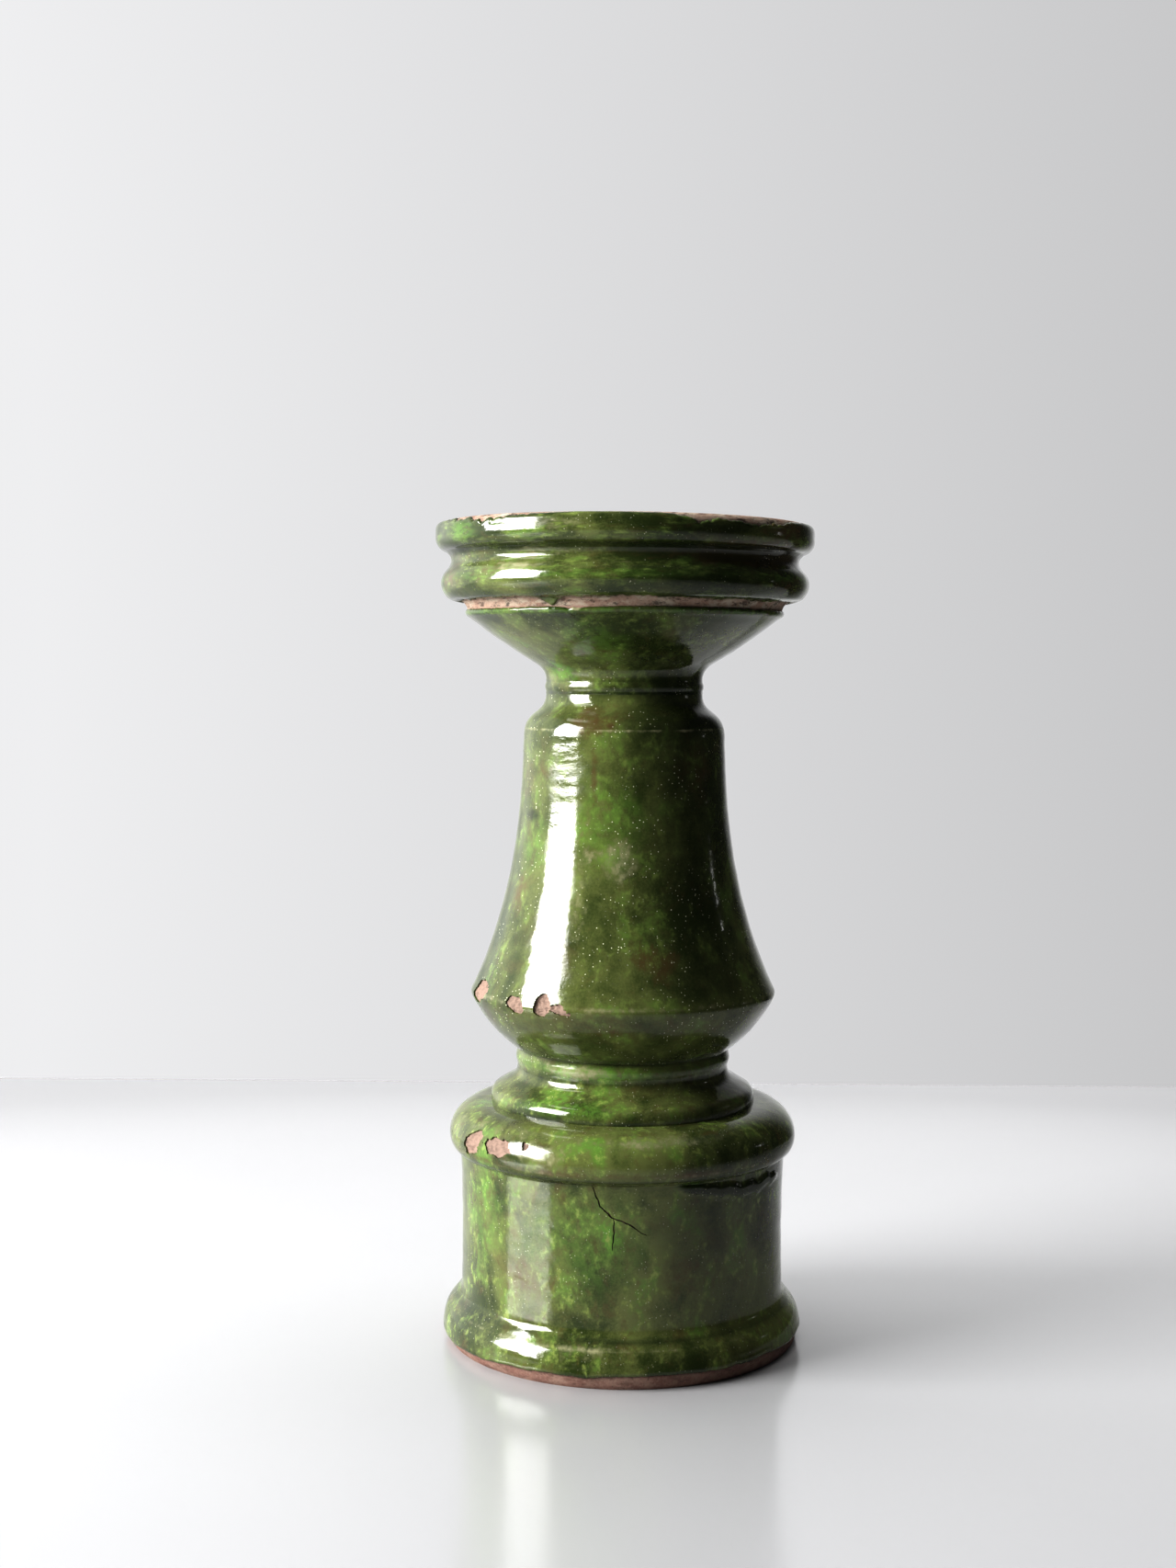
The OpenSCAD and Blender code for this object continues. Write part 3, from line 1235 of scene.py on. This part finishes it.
@dataclass
class PedestalCap(Section):
    """The flat disc and its collar."""

    disc_r: float = 54.6
    waist_r: float = 43.4
    top_r: float = 43.6
    low_hole_r: float = 42.0
    hole_r: float = 35.5

    clay_node = "pedestal_cap"
    glaze_node = "pedestal_cap_glaze"

    def outside(self) -> Outline:
        """The outer line, from the disc's lower edge to the top of the collar."""
        base, top = heights(self.clay_node)
        line = Outline().to((self.disc_r, base - 1), (self.disc_r, base))
        # The disc's rounded edge, the cove up to the collar, and the collar's bead.
        line.oval((self.disc_r - 2.3, 102.9), (2.3, 2.3), 0, 60, 10)
        line.oval((self.waist_r + 6.2, 114.2), (6.2, 6.2), 226, 180, 14)
        line.oval((self.waist_r - 0.9, 118.4), (1.9, 2.9), -62, 60, 14)
        return line.to((self.top_r, top))

    def hollow(self) -> Outline:
        """The inner line."""
        base, top = heights(self.clay_node)
        line = Outline().to((self.low_hole_r, base - 1), (self.low_hole_r, base + 2))
        return line.to((self.hole_r, base + 8), (self.hole_r, top))


@dataclass
class BellStem(Section):
    """The flaring stem, with its ridge below and its shoulder above."""

    base_r: float = 44.7
    ridge_r: float = 63.2
    top_r: float = 41.5
    neck_r: float = 32.0
    low_z: float = 148.0
    high_z: float = 253.3
    taper: float = 2.6
    flare_r: float = 59.7
    flare_power: float = 2.5
    wall_t: float = 8.0
    hole_r: float = 35.5

    clay_node = "bell_stem"
    glaze_node = "bell_stem_glaze"
    FLARE_STEPS = 40

    def flare(self, height: float) -> float:
        """The bell's radius at a level between its ridge and its shoulder."""
        down = (self.high_z - height) / (self.high_z - self.low_z)
        flare = (self.flare_r - self.top_r) * down**self.flare_power
        return self.top_r + self.taper * down + flare

    def outside(self) -> Outline:
        """The outer line, from the collar to the neck."""
        base, top = heights(self.clay_node)
        # The bowl below the ridge, and the ridge.
        line = Outline().bow((self.base_r, base), (self.ridge_r - 0.9, 143), 1.6)
        line.oval((self.ridge_r - 2.8, 145.6), (2.8, 2.8), -20, 25, 8)
        rise = (self.high_z - self.low_z) / self.FLARE_STEPS
        levels = [self.low_z + i * rise for i in range(self.FLARE_STEPS + 1)]
        line.to(*[(self.flare(level), level) for level in levels])
        # The shoulder, and the cove up to the neck.
        line.oval((self.top_r - 10.1, self.high_z), (10, 10), 5, 57, 14)
        line.oval((self.neck_r + 7.5, top - 0.6), (7.5, 7.5), 232, 184, 14)
        return line.to((self.neck_r, top))

    def hollow(self) -> Outline:
        """The inner line, which follows the outer one."""
        base, _ = heights(self.clay_node)
        line = Outline().to((self.hole_r, base), (self.hole_r, base + 1.8))
        inner = self.outside().moved_in(self.wall_t)
        return line.joined(inner.part(base + 3, math.inf))


@dataclass
class Funnel(Section):
    """The beads of the neck and the cone that carries the cup."""

    neck_r: float = 32.0
    mouth_r: float = 65.4
    hole_r: float = 24.0
    hollow_mouth_r: float = 54.0
    lap: float = 1.3

    clay_node = "funnel"
    glaze_node = "funnel_glaze"

    def outside(self) -> Outline:
        """The outer line, from the neck's groove to the cone's mouth."""
        base, top = heights(self.clay_node)
        line = Outline().to((self.neck_r, base - 1), (self.neck_r, base))
        # The bead, the cove above it, and the cone's side.
        line.oval((self.neck_r - 0.9, 273), (1.5, 2.1), -52, 52, 12)
        line.oval((self.neck_r + 7.6, 275.9), (7.5, 7.5), 180, 127, 14)
        line.bow((self.neck_r + 3.6, 282.4), (self.mouth_r - 0.1, top - 0.7), 0.6)
        return line.to((self.mouth_r, top))

    def coat_line(self) -> Outline:
        """The line that the glaze lies on, which laps over the joint under the cup."""
        over = Outline().to((self.mouth_r + 0.5, self.outside_line.points[-1].y + self.lap))
        return self.outside_line.joined(over)

    def hollow(self) -> Outline:
        """The inner line."""
        base, top = heights(self.clay_node)
        line = Outline().to((self.hole_r, base - 1), (self.hole_r, 277))
        line.bow((self.hole_r + 2, 281), (self.hollow_mouth_r, top - 2), 0.6)
        return line.to((self.hollow_mouth_r, top))


@dataclass
class CandleCup(Section):
    """The moulded cup that holds the candle."""

    band_r: float = 65.4
    ring_r: float = 75.8
    rim_r: float = 78.0
    bore_r: float = 62.0
    band_top: float = 308.4
    tooth: float = 0.10
    tooth_size: float = 2.6
    lining_edges: tuple[GlazeEdge, ...] = ()
    lining_marks: tuple[Stain | Band, ...] = ()

    clay_node = "candle_cup"
    glaze_node = "candle_cup_outer_glaze"
    lining_node = "candle_cup_lining_glaze"
    INNER_PITCH, LINING_PITCH, UNDER_PITCH = 1.5, 1.4, 4.0
    LIP_START = 336

    def outside(self) -> Outline:
        """The outer line, from the bare band to the top of the rim."""
        base, _ = heights(self.clay_node)
        line = Outline().to((self.band_r, base), (self.band_r + 0.6, 306.2))
        line.to((self.band_r + 1.7, 307.5), (self.band_r + 3.4, self.band_top))
        # The lower ring, the groove above it, and the rim's two roundings.
        line.oval((self.ring_r - 5.6, 315.2), (5.6, 6.2), -76, 48)
        line.bow((self.ring_r - 3, 321), (self.ring_r - 3.6, 327), -1, 14)
        line.oval((self.rim_r - 4.6, 333.2), (4.6, 4.6), -84, 0, 18)
        return line.oval((self.rim_r - 4.5, 336), (4.5, 4), 6, 90)

    def inside(self) -> Outline:
        """The inner line, read down from the lip to the middle of the floor."""
        floor, _ = heights(self.lining_node)
        wall_r = self.bore_r + self.glaze
        line = Outline().oval((wall_r + 5.5, 334), (5.5, 6), 90, 180)
        line.oval((wall_r - 4, floor + 4), (4, 4), 0, -90, 12)
        return line.to((0.0, floor))

    def hollow(self) -> Outline:
        """The inner line, read up, with the underside of the floor before it."""
        base, _ = heights(self.clay_node)
        return Outline().to((0.0, base)).joined(self.inside().reversed())

    def body(self) -> bmesh.types.BMesh:
        """Builds the cup's smooth clay, which is closed at the axis."""
        outer = self.outside_line.evened(self.spacing)
        inner = self.inside().evened(lambda _: self.INNER_PITCH)
        base, _ = heights(self.clay_node)
        under = Outline().to((0.0, base), (self.band_r, base)).evened(lambda _: self.UNDER_PITCH, 0)
        mesh = Wheel.turn(Outline(under.points[:-1] + outer.points + inner.points[1:]))
        bmesh.ops.recalc_face_normals(mesh, faces=mesh.faces[:])
        return mesh

    def lining(self) -> bmesh.types.BMesh:
        """Builds the glaze inside the cup."""
        mesh = Wheel.turn(self.inside().evened(self.lining_spacing))
        for edge in self.lining_edges:
            Wheel.refine(mesh, edge.margin, self.COARSE_CUTS)
        Wheel.trim(mesh, lambda at: min(edge.margin(at) for edge in self.lining_edges))
        Wheel.thicken(mesh, lambda at: self.thickness(at, self.lining_edges))
        for tint in Tint:
            marks = [mark for mark in self.lining_marks if mark.tint is tint]
            Wheel.paint(mesh, tint, lambda at, marks=marks: sum(mark.amount(at) for mark in marks))
        Wheel.throw(mesh)
        return mesh

    def lining_spacing(self, at: Vector) -> float:
        """How far apart the lining's points are at one of its points."""
        return self.fine_pitch if at.y > self.LIP_START else self.LINING_PITCH

    def build(self, clay: bpy.types.Material, glaze: bpy.types.Material) -> None:
        """Makes the wall, the outer coat and the lining."""
        super().build(clay, glaze)
        Piece(f"{self.lining_node}_coat", "glaze", (self.lining_node,)).finish(self.lining(), glaze)


@dataclass
class SlipRing:
    """The slip in a luted joint, squeezed out in a roll on the inside."""

    node: str
    hole_r: float
    roll: float = 1.6

    INSET = 0.05
    UNEVEN, UNEVEN_SIZE = 0.3, 9
    FRESHNESS = 0.3

    def build(self, material: bpy.types.Material) -> None:
        """Makes the ring."""
        low, high = heights(self.node)
        outer_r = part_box(self.node)[1][0] / MM
        level = low + self.roll
        seam = high - low - 2 * self.roll
        edge_r = outer_r - self.INSET
        line = Outline().to((edge_r, level), (edge_r, level + seam), (self.hole_r, level + seam))
        line.oval((self.hole_r, level + seam / 2), (self.roll, seam / 2 + self.roll), 90, 270, 14)
        line.to((self.hole_r, level))
        mesh = Wheel.turn(line, closed=True)
        bmesh.ops.recalc_face_normals(mesh, faces=mesh.faces[:])
        for vert in mesh.verts:
            if math.hypot(vert.co.x, vert.co.y) < self.hole_r - self.UNEVEN:
                vert.co.z += self.UNEVEN * lumps(vert.co, self.UNEVEN_SIZE, 6.0)
        Wheel.paint(mesh, ClayMark.FRESH, lambda _: self.FRESHNESS)
        Wheel.paint(mesh, ClayMark.SOOT, lambda _: 0.0)
        Wheel.throw(mesh)
        Piece(f"{self.node}_ring", "slip", (self.node,)).finish(mesh, material)


# ---- The stage ----


@dataclass(frozen=True)
class Lamp:
    """A soft rectangular lamp.

    Attributes:
        name: The lamp's name.
        at: Its place, in metres.
        aim: The place that it faces.
        size: Its width and height.
        power: Its power, in watts.
        spread: How wide its light opens, in degrees.
        hidden: Whether it stays out of the picture and out of reflections.
    """

    name: str
    at: tuple[float, float, float]
    aim: tuple[float, float, float]
    size: tuple[float, float]
    power: float
    spread: float = 180
    hidden: bool = False

    def hang(self) -> None:
        """Puts the lamp in the scene."""
        data = bpy.data.lights.new(self.name, "AREA")
        data.shape = "RECTANGLE"
        data.size, data.size_y = self.size
        data.energy = self.power
        data.spread = math.radians(self.spread)
        made = bpy.data.objects.new(self.name, data)
        made.location = self.at
        towards = Vector(self.aim) - Vector(self.at)
        made.rotation_euler = towards.to_track_quat("-Z", "Y").to_euler()
        made.visible_camera = not self.hidden
        made.visible_glossy = not self.hidden
        bpy.context.scene.collection.objects.link(made)


@dataclass(frozen=True)
class Studio:
    """The floor, the light and the camera."""

    eye_distance: float = 0.838
    eye_height: float = 0.279
    pitch: float = 3.2
    yaw: float = 1.04
    roll: float = -0.23
    lens: float = 46.0
    sensor: float = 36.0
    table_size: tuple[float, float, float] = (2.6, 2.2, 0.03)
    table_far: float = 0.52
    table_round: float = 0.007
    table_rough: float = 0.17
    table_dark: Colour = rgb(0.350, 0.350, 0.355)
    table_light: Colour = rgb(0.370, 0.370, 0.375)
    wall_towards: tuple[float, float, float] = (-0.45, 0.85, 0.12)
    wall_edge: tuple[float, float] = (0.32, 0.82)
    room_dim: Colour = rgb(0.035, 0.035, 0.035)
    room_wall: Colour = rgb(0.95, 0.95, 0.96)
    left_towards: tuple[float, float, float] = (-1.0, 0.42, 0.15)
    left_edge: tuple[float, float] = (0.72, 0.96)
    left_wall: Colour = rgb(2.10, 2.10, 2.12)
    up_towards: tuple[float, float, float] = (-0.3, 0.3, 1.0)
    up_edge: tuple[float, float] = (0.5, 0.9)
    ceiling: Colour = rgb(0.20, 0.20, 0.20)
    backdrop_left: Colour = rgb(0.890, 0.890, 0.900)
    backdrop_right: Colour = rgb(0.640, 0.640, 0.647)
    backdrop_edge: tuple[float, float] = (-0.28, 0.28)
    contrast: float = 0.78
    lamps: tuple[Lamp, ...] = (
        Lamp("window", (-1.5, -0.60, 0.905), (0, -0.60, 0.905), (1.065, 1.2), 129),
        Lamp("gap", (1.29, 0.27, 0.39), (0, 0, 0.19), (0.04, 0.075), 0.055),
        Lamp("floor_back", (-0.1, 0.5, 1.5), (-0.1, 0.5, 0), (2.4, 1.0), 14, 80, True),
        Lamp("floor_front", (-0.1, -1.75, 1.5), (-0.1, -1.75, 0), (2.4, 1.0), 9.5, 80, True),
    )

    def camera(self) -> None:
        """Puts the camera where the candlestick is seen from."""
        data = bpy.data.cameras.new("camera")
        data.lens = self.lens
        data.sensor_width = self.sensor
        data.clip_start = 0.01
        eye = bpy.data.objects.new("camera", data)
        eye.location = (0, -self.eye_distance, self.eye_height)
        eye.rotation_euler = [math.radians(v) for v in (90 - self.pitch, self.roll, self.yaw)]
        bpy.context.scene.collection.objects.link(eye)
        bpy.context.scene.camera = eye

    def floor(self) -> None:
        """Lays a wide pale table top with a soft sheen."""
        mesh = bmesh.new()
        bmesh.ops.create_cube(mesh, size=1)
        _, deep, thick = self.table_size
        bmesh.ops.scale(mesh, vec=self.table_size, verts=mesh.verts[:])
        shift = Vector((0, self.table_far - deep / 2, -thick / 2))
        bmesh.ops.translate(mesh, vec=shift, verts=mesh.verts[:])
        bmesh.ops.bevel(
            mesh, geom=mesh.edges[:], offset=self.table_round, segments=4, profile=0.5,
            affect="EDGES", material=-1,
        )
        recipe = Recipe("pale_floor")
        tone = recipe.mix(self.table_dark, self.table_light, recipe.cloud(180, 2, 0.5))
        recipe.set(Base_Color=tone, Roughness=self.table_rough, Specular_IOR_Level=0.5)
        made = into_scene(mesh, "floor", recipe.material, 35)

    def world(self) -> None:
        """Surrounds the stage with a pale wall, and a dim room in front and to the right."""
        world = bpy.data.worlds.new("room")
        world.use_nodes = True
        bpy.context.scene.world = world
        graph = Graph(world.node_tree)
        direction = graph.node("ShaderNodeTexCoord", output="Generated")
        wall = graph.facing(direction, self.wall_towards).between(*self.wall_edge)
        overhead = graph.facing(direction, self.up_towards).between(*self.up_edge)
        room = graph.mix(self.room_dim, self.ceiling, overhead)
        room = graph.mix(room, self.room_wall, wall)
        left = graph.facing(direction, self.left_towards).between(*self.left_edge)
        room = graph.mix(room, self.left_wall, left)
        across = graph.facing(direction, (1, 0, 0)).between(*self.backdrop_edge, smooth=False)
        backdrop = graph.mix(self.backdrop_left, self.backdrop_right, across)
        seen = graph.node("ShaderNodeLightPath", output="Is Camera Ray")
        background = world.node_tree.nodes["Background"]
        graph.feed(background.inputs["Color"], graph.mix(room, backdrop, seen))
        bpy.context.scene.view_settings.view_transform = "Standard"
        bpy.context.scene.view_settings.gamma = self.contrast

    def build(self) -> None:
        """Sets up the whole stage."""
        self.camera()
        self.floor()
        for lamp in self.lamps:
            lamp.hang()
        self.world()


# ---- The candlestick ----


class Candlestick:
    """All of the sections and joints, with their marks of making and of wear.

    The tables below read Chip(azimuth, height, width, tall, lean, depth, seed) and
    GlazeEdge(height, glaze_above, swing, seed, worn, ragged, fray). A row of stains is
    (azimuth, height, width, tall, strength), and a row of bands is (height, tall, strength).
    """

    def sections(self) -> Iterable[tuple[Section, CopperGlaze, Earthenware]]:
        """Each section with its finishes, from the foot up."""
        yield (
            self.plinth(),
            CopperGlaze("glaze_plinth", mottle=0.65, rust=0.4, streak=(1, 1, 0.75), shade=-0.015),
            Earthenware(
                "clay_plinth", body=rgb(0.165, 0.086, 0.067), light=rgb(0.280, 0.172, 0.134),
            ),
        )
        yield (
            self.cap(),
            CopperGlaze("glaze_cap", mottle=0.6, rust=0.3, streak=(1, 1, 1), shift=2.0),
            Earthenware("clay_cap"),
        )
        yield (
            self.bell(),
            CopperGlaze(
                "glaze_bell", mottle=0.28, rust=0.4, streak=(1, 1, 0.8), shift=4.0, specks=1.0,
                shade=0.015, soft=0.05,
            ),
            Earthenware("clay_bell"),
        )
        yield (
            self.funnel(),
            CopperGlaze(
                "glaze_funnel", mottle=0.35, rust=0.3, streak=(1, 1, 1), shift=6.0, shade=0.05,
            ),
            Earthenware("clay_funnel"),
        )
        yield (
            self.cup(),
            CopperGlaze(
                "glaze_cup", mottle=0.4, rust=0.5, streak=(0.6, 0.6, 1.8), shift=8.0, shade=0.065,
            ),
            Earthenware(
                "clay_cup", body=rgb(0.250, 0.158, 0.117), light=rgb(0.390, 0.297, 0.232),
                grime_share=0.8, lime_share=0.9,
            ),
        )

    def plinth(self) -> Plinth:
        """The plinth: chips on the bullnose, a forked crack, and a thick run at the right."""
        fork = ((-10.1, 80.3), (-7.1, 71.0), (-3.3, 66.5), (0.9, 64.8), (9.0, 59.0))
        branch = ((-2.8, 66.2), (-2.5, 61.0), (-3.2, 52.8))
        return Plinth(
            fine=((2, 10), (70, 83)),
            edges=(GlazeEdge(5.6, True, 0.9, 1.0, worn=(Worn(-66, 34, -2.6),), fray=0.25),),
            chips=(
                Chip(-57.5, 88.8, 13.5, 8.5, 25, 0.8, 2.0),
                Chip(-44.0, 89.8, 16.0, 6.2, -4, 0.7, 5.0),
                Chip(-33.0, 91.6, 2.6, 3.6, 0, 0.4, 6.0),
            ),
            hairlines=(Hairline(fork, 67.3, 0.6), Hairline(branch, 67.3, 0.45)),
            rolls=(Roll(16, 71, 78.0, 73.6, 6.0, 0.9),),
            marks=(
                *stains(
                    Tint.VIVID,
                    (23, 78.6, 7, 2, 1.0), (-3, 57, 5, 7, 0.8), (-56, 60, 16, 22, 0.5),
                    (3, 95, 12, 8, 0.15), (-10, 54, 34, 26, 0.4),
                ),
                # The last pale stain, and the first pale band below, are a painted reflection on
                # the bullnose's top.
                *stains(
                    Tint.PALE,
                    (-28, 90, 20, 5, 0.45), (-12, 12, 26, 7, 0.2), (12, 96, 24, 3.5, 0.25),
                ),
                *bands(Tint.PALE, (95.5, 3.0, 0.26), (15.0, 0.9, 0.42), (83.2, 0.9, 0.4)),
                *stains(Tint.RUST, (20, 45, 14, 9, 0.5), (-36, 40, 12, 14, 0.5)),
                # Painted shade: the pool stains darken the drum and the bullnose on the side away
                # from the window, and the pool bands paint the shadow in the groove above the foot
                # and under the bullnose's overhang, where the glaze is also made a little thicker.
                *stains(Tint.POOL_AND_SHADE, (26, 62, 24, 20, 0.35), (34, 88, 28, 6, 0.4)),
                *bands(Tint.POOL_AND_SHADE, (17.8, 1.0, 0.8), (81.0, 0.8, 0.7)),
                *bands(Tint.RUST, (83.6, 1.8, 0.65), (99.0, 5.0, 0.25)),
            ),
        )

    def cap(self) -> PedestalCap:
        """The cap: a bright collar, and dark creases of painted shade."""
        return PedestalCap(
            marks=(
                *bands(Tint.PALE, (105.6, 1.6, 0.26)),
                *stains(Tint.PALE, (-18, 118, 24, 4, 0.2), (-30, 118.5, 26, 4, 0.35)),
                *stains(Tint.VIVID, (-24, 105, 30, 4, 0.7), (-14, 118, 26, 4, 0.7)),
                # Painted shade in the creases at the disc's foot, in the cove and under the bell,
                # where the glaze is also made a little thicker.
                *bands(Tint.POOL_AND_SHADE, (100.2, 0.8, 0.8), (114.0, 1.2, 0.8), (122.0, 0.9, 0.9)),
                *bands(Tint.VIVID, (118.2, 2.6, 0.5)),
            ),
        )

    def bell(self) -> BellStem:
        """The bell: chips along the ridge, brown at the shoulder, ripples where the light falls."""
        return BellStem(
            pitch=1.5,
            fine_pitch=0.6,
            fine=((142, 151), (228, 261)),
            chips=(
                Chip(-69.0, 148.2, 15.0, 8.5, 15, 0.8, 1.0),
                Chip(-42.6, 146.5, 9.0, 6.0, -15, 0.7, 2.0),
                Chip(-30.6, 147.2, 8.0, 8.2, 10, 0.8, 3.0),
                Chip(-23.6, 146.0, 9.0, 3.4, -12, 0.6, 4.0),
            ),
            marks=(
                *stains(
                    Tint.RUST,
                    (-16, 259, 18, 9, 0.65), (-16, 238, 2.6, 16, 0.5), (-50, 238, 9, 9, 0.4),
                    (-60, 188, 9, 14, 0.5), (14, 165, 14, 11, 0.62), (43, 240, 14, 20, 0.5),
                ),
                # The first is a dark smudge at the left; the other three are painted shade on the
                # right, the side away from the window.
                *stains(
                    Tint.POOL_AND_SHADE,
                    (-58, 220.7, 7, 3, 0.9), (42, 215, 28, 75, 0.32), (20, 258, 30, 12, 0.42),
                    (30, 157, 26, 10, 0.35),
                ),
                *stains(Tint.RIPPLE, (-35, 240, 22, 12, 1.0)),
                # The second pale stain is a painted highlight: a bloom of light beside the bell's
                # bright reflection.
                *stains(Tint.PALE, (-2, 205, 14, 12, 0.45), (-23, 186, 9, 48, 0.28)),
                *stains(Tint.VIVID, (-8, 218, 20, 22, 0.4), (-52, 208, 12, 14, 0.4)),
                *bands(Tint.PALE, (255.6, 0.6, 0.7), (147.2, 1.5, 0.42)),
                *bands(Tint.RUST, (139.0, 9.0, 0.45)),
                # Painted shade in the crease on the collar and in the neck's groove, where the
                # glaze is also made a little thicker.
                *bands(Tint.POOL_AND_SHADE, (123.4, 1.2, 0.8), (269.6, 1.2, 0.8)),
            ),
        )

    def funnel(self) -> Funnel:
        """The funnel: a bright patch at the left of the neck, and a thick lip under the band."""
        return Funnel(
            fine=((269, 280), (299, 306)),
            edges=(GlazeEdge(304.3, False, 0.25, 4.0, (Worn(-17, 5, 0.7),), 0.5, 0.2),),
            marks=(
                *stains(Tint.VIVID, (-48, 279, 10, 6, 1.0), (-12, 290, 16, 8, 0.5)),
                *stains(Tint.PALE, (-50, 279, 7, 4, 0.3), (-17, 303.8, 3.5, 1.6, 0.9)),
                *stains(Tint.RUST, (-20, 288, 12, 6, 0.4)),
                # Painted shade: the pool stains darken the cone and the neck on the side away from
                # the window, and the pool bands darken the grooves of the neck, where the glaze is
                # also made a little thicker.
                *stains(Tint.POOL_AND_SHADE, (45, 282, 16, 7, 0.6), (30, 273, 26, 6, 0.45)),
                *bands(Tint.POOL_AND_SHADE, (270.5, 0.8, 0.9), (275.4, 0.5, 0.4)),
                *bands(Tint.VIVID, (302.8, 1.0, 0.6)),
            ),
        )

    def cup(self) -> CandleCup:
        """The cup: a bare band below, brown mouldings, and a rim worn down to the clay."""
        return CandleCup(
            fine=((303, 310), (324, 341)),
            edges=(
                GlazeEdge(
                    308.2, True, 0.6, 7.0, (Worn(-25.5, 3, -3.2), Worn(40, 30, -0.5)), 0.4, 0.5,
                ),
                GlazeEdge(
                    339.4, False, 0.2, 9.0,
                    (
                        Worn(-46, 18, 1.4), Worn(22, 6, 1.8), Worn(42, 15, 3.0),
                        Worn(120, 25, 1.6), Worn(-150, 20, 1.2),
                    ),
                    1.6,
                ),
            ),
            marks=(
                # Painted shadow in the crease under the rim, where the glaze is also made a little
                # thicker.
                *bands(Tint.POOL_AND_SHADE, (327.3, 1.2, 1.0)),
                *bands(Tint.RUST, (325.0, 4.0, 0.4)),
                *bands(Tint.PALE, (321.0, 0.8, 0.25)),
                *bands(Tint.VIVID, (316.5, 1.6, 0.5)),
                *stains(
                    Tint.RUST,
                    (45, 325, 38, 7, 1.0), (-42, 317, 22, 6, 0.35), (62, 314, 24, 6, 0.5),
                    (-70, 316, 14, 8, 0.5), (14, 335, 12, 4, 0.4), (55, 335, 22, 5, 0.7),
                ),
                # The pool stains darken the ring, the cavetto and the rim on the right, the side
                # away from the window: partly the glaze's own darker colour there, partly painted
                # shade.
                *stains(
                    Tint.POOL_AND_SHADE,
                    (40, 325, 50, 6, 0.75), (24, 334, 22, 5, 0.7), (22, 313, 44, 7, 0.75),
                ),
                *stains(
                    Tint.PALE,
                    (-25, 325, 16, 4, 0.35), (-33, 319, 14, 3.0, 0.55), (-22, 336, 24, 5, 0.35),
                ),
                *stains(Tint.VIVID, (-56, 334, 13, 5, 0.6)),
            ),
            lining_edges=(
                GlazeEdge(339.3, False, 0.25, 12.0, (Worn(42, 15, 1.0), Worn(-46, 18, 0.6)), 0.5),
            ),
            lining_marks=(
                *bands(Tint.POOL_AND_SHADE, (312.8, 1.4, 0.7)),
                *bands(Tint.PALE, (339.0, 0.9, 0.3)),
            ),
        )

    def build(self) -> None:
        """Makes every piece of the candlestick."""
        for section, glaze, clay in self.sections():
            section.build(clay.make(), glaze.make())
        slip = Earthenware("slip", body=rgb(0.36, 0.22, 0.17), grime_share=0.15).make()
        joints = {
            "plinth_seam_slip": Plinth.hole_r,
            "bell_seam_slip": PedestalCap.hole_r,
            "neck_seam_slip": Funnel.hole_r,
            "cup_seam_slip": Funnel.hollow_mouth_r,
        }
        for node, hole_r in joints.items():
            SlipRing(node, hole_r).build(slip)


def main() -> None:
    """Builds the stage and the candlestick."""
    logging.basicConfig(level=logging.INFO, format="%(name)s: %(message)s")
    Studio().build()
    Candlestick().build()


if __name__ == "__main__":
    main()
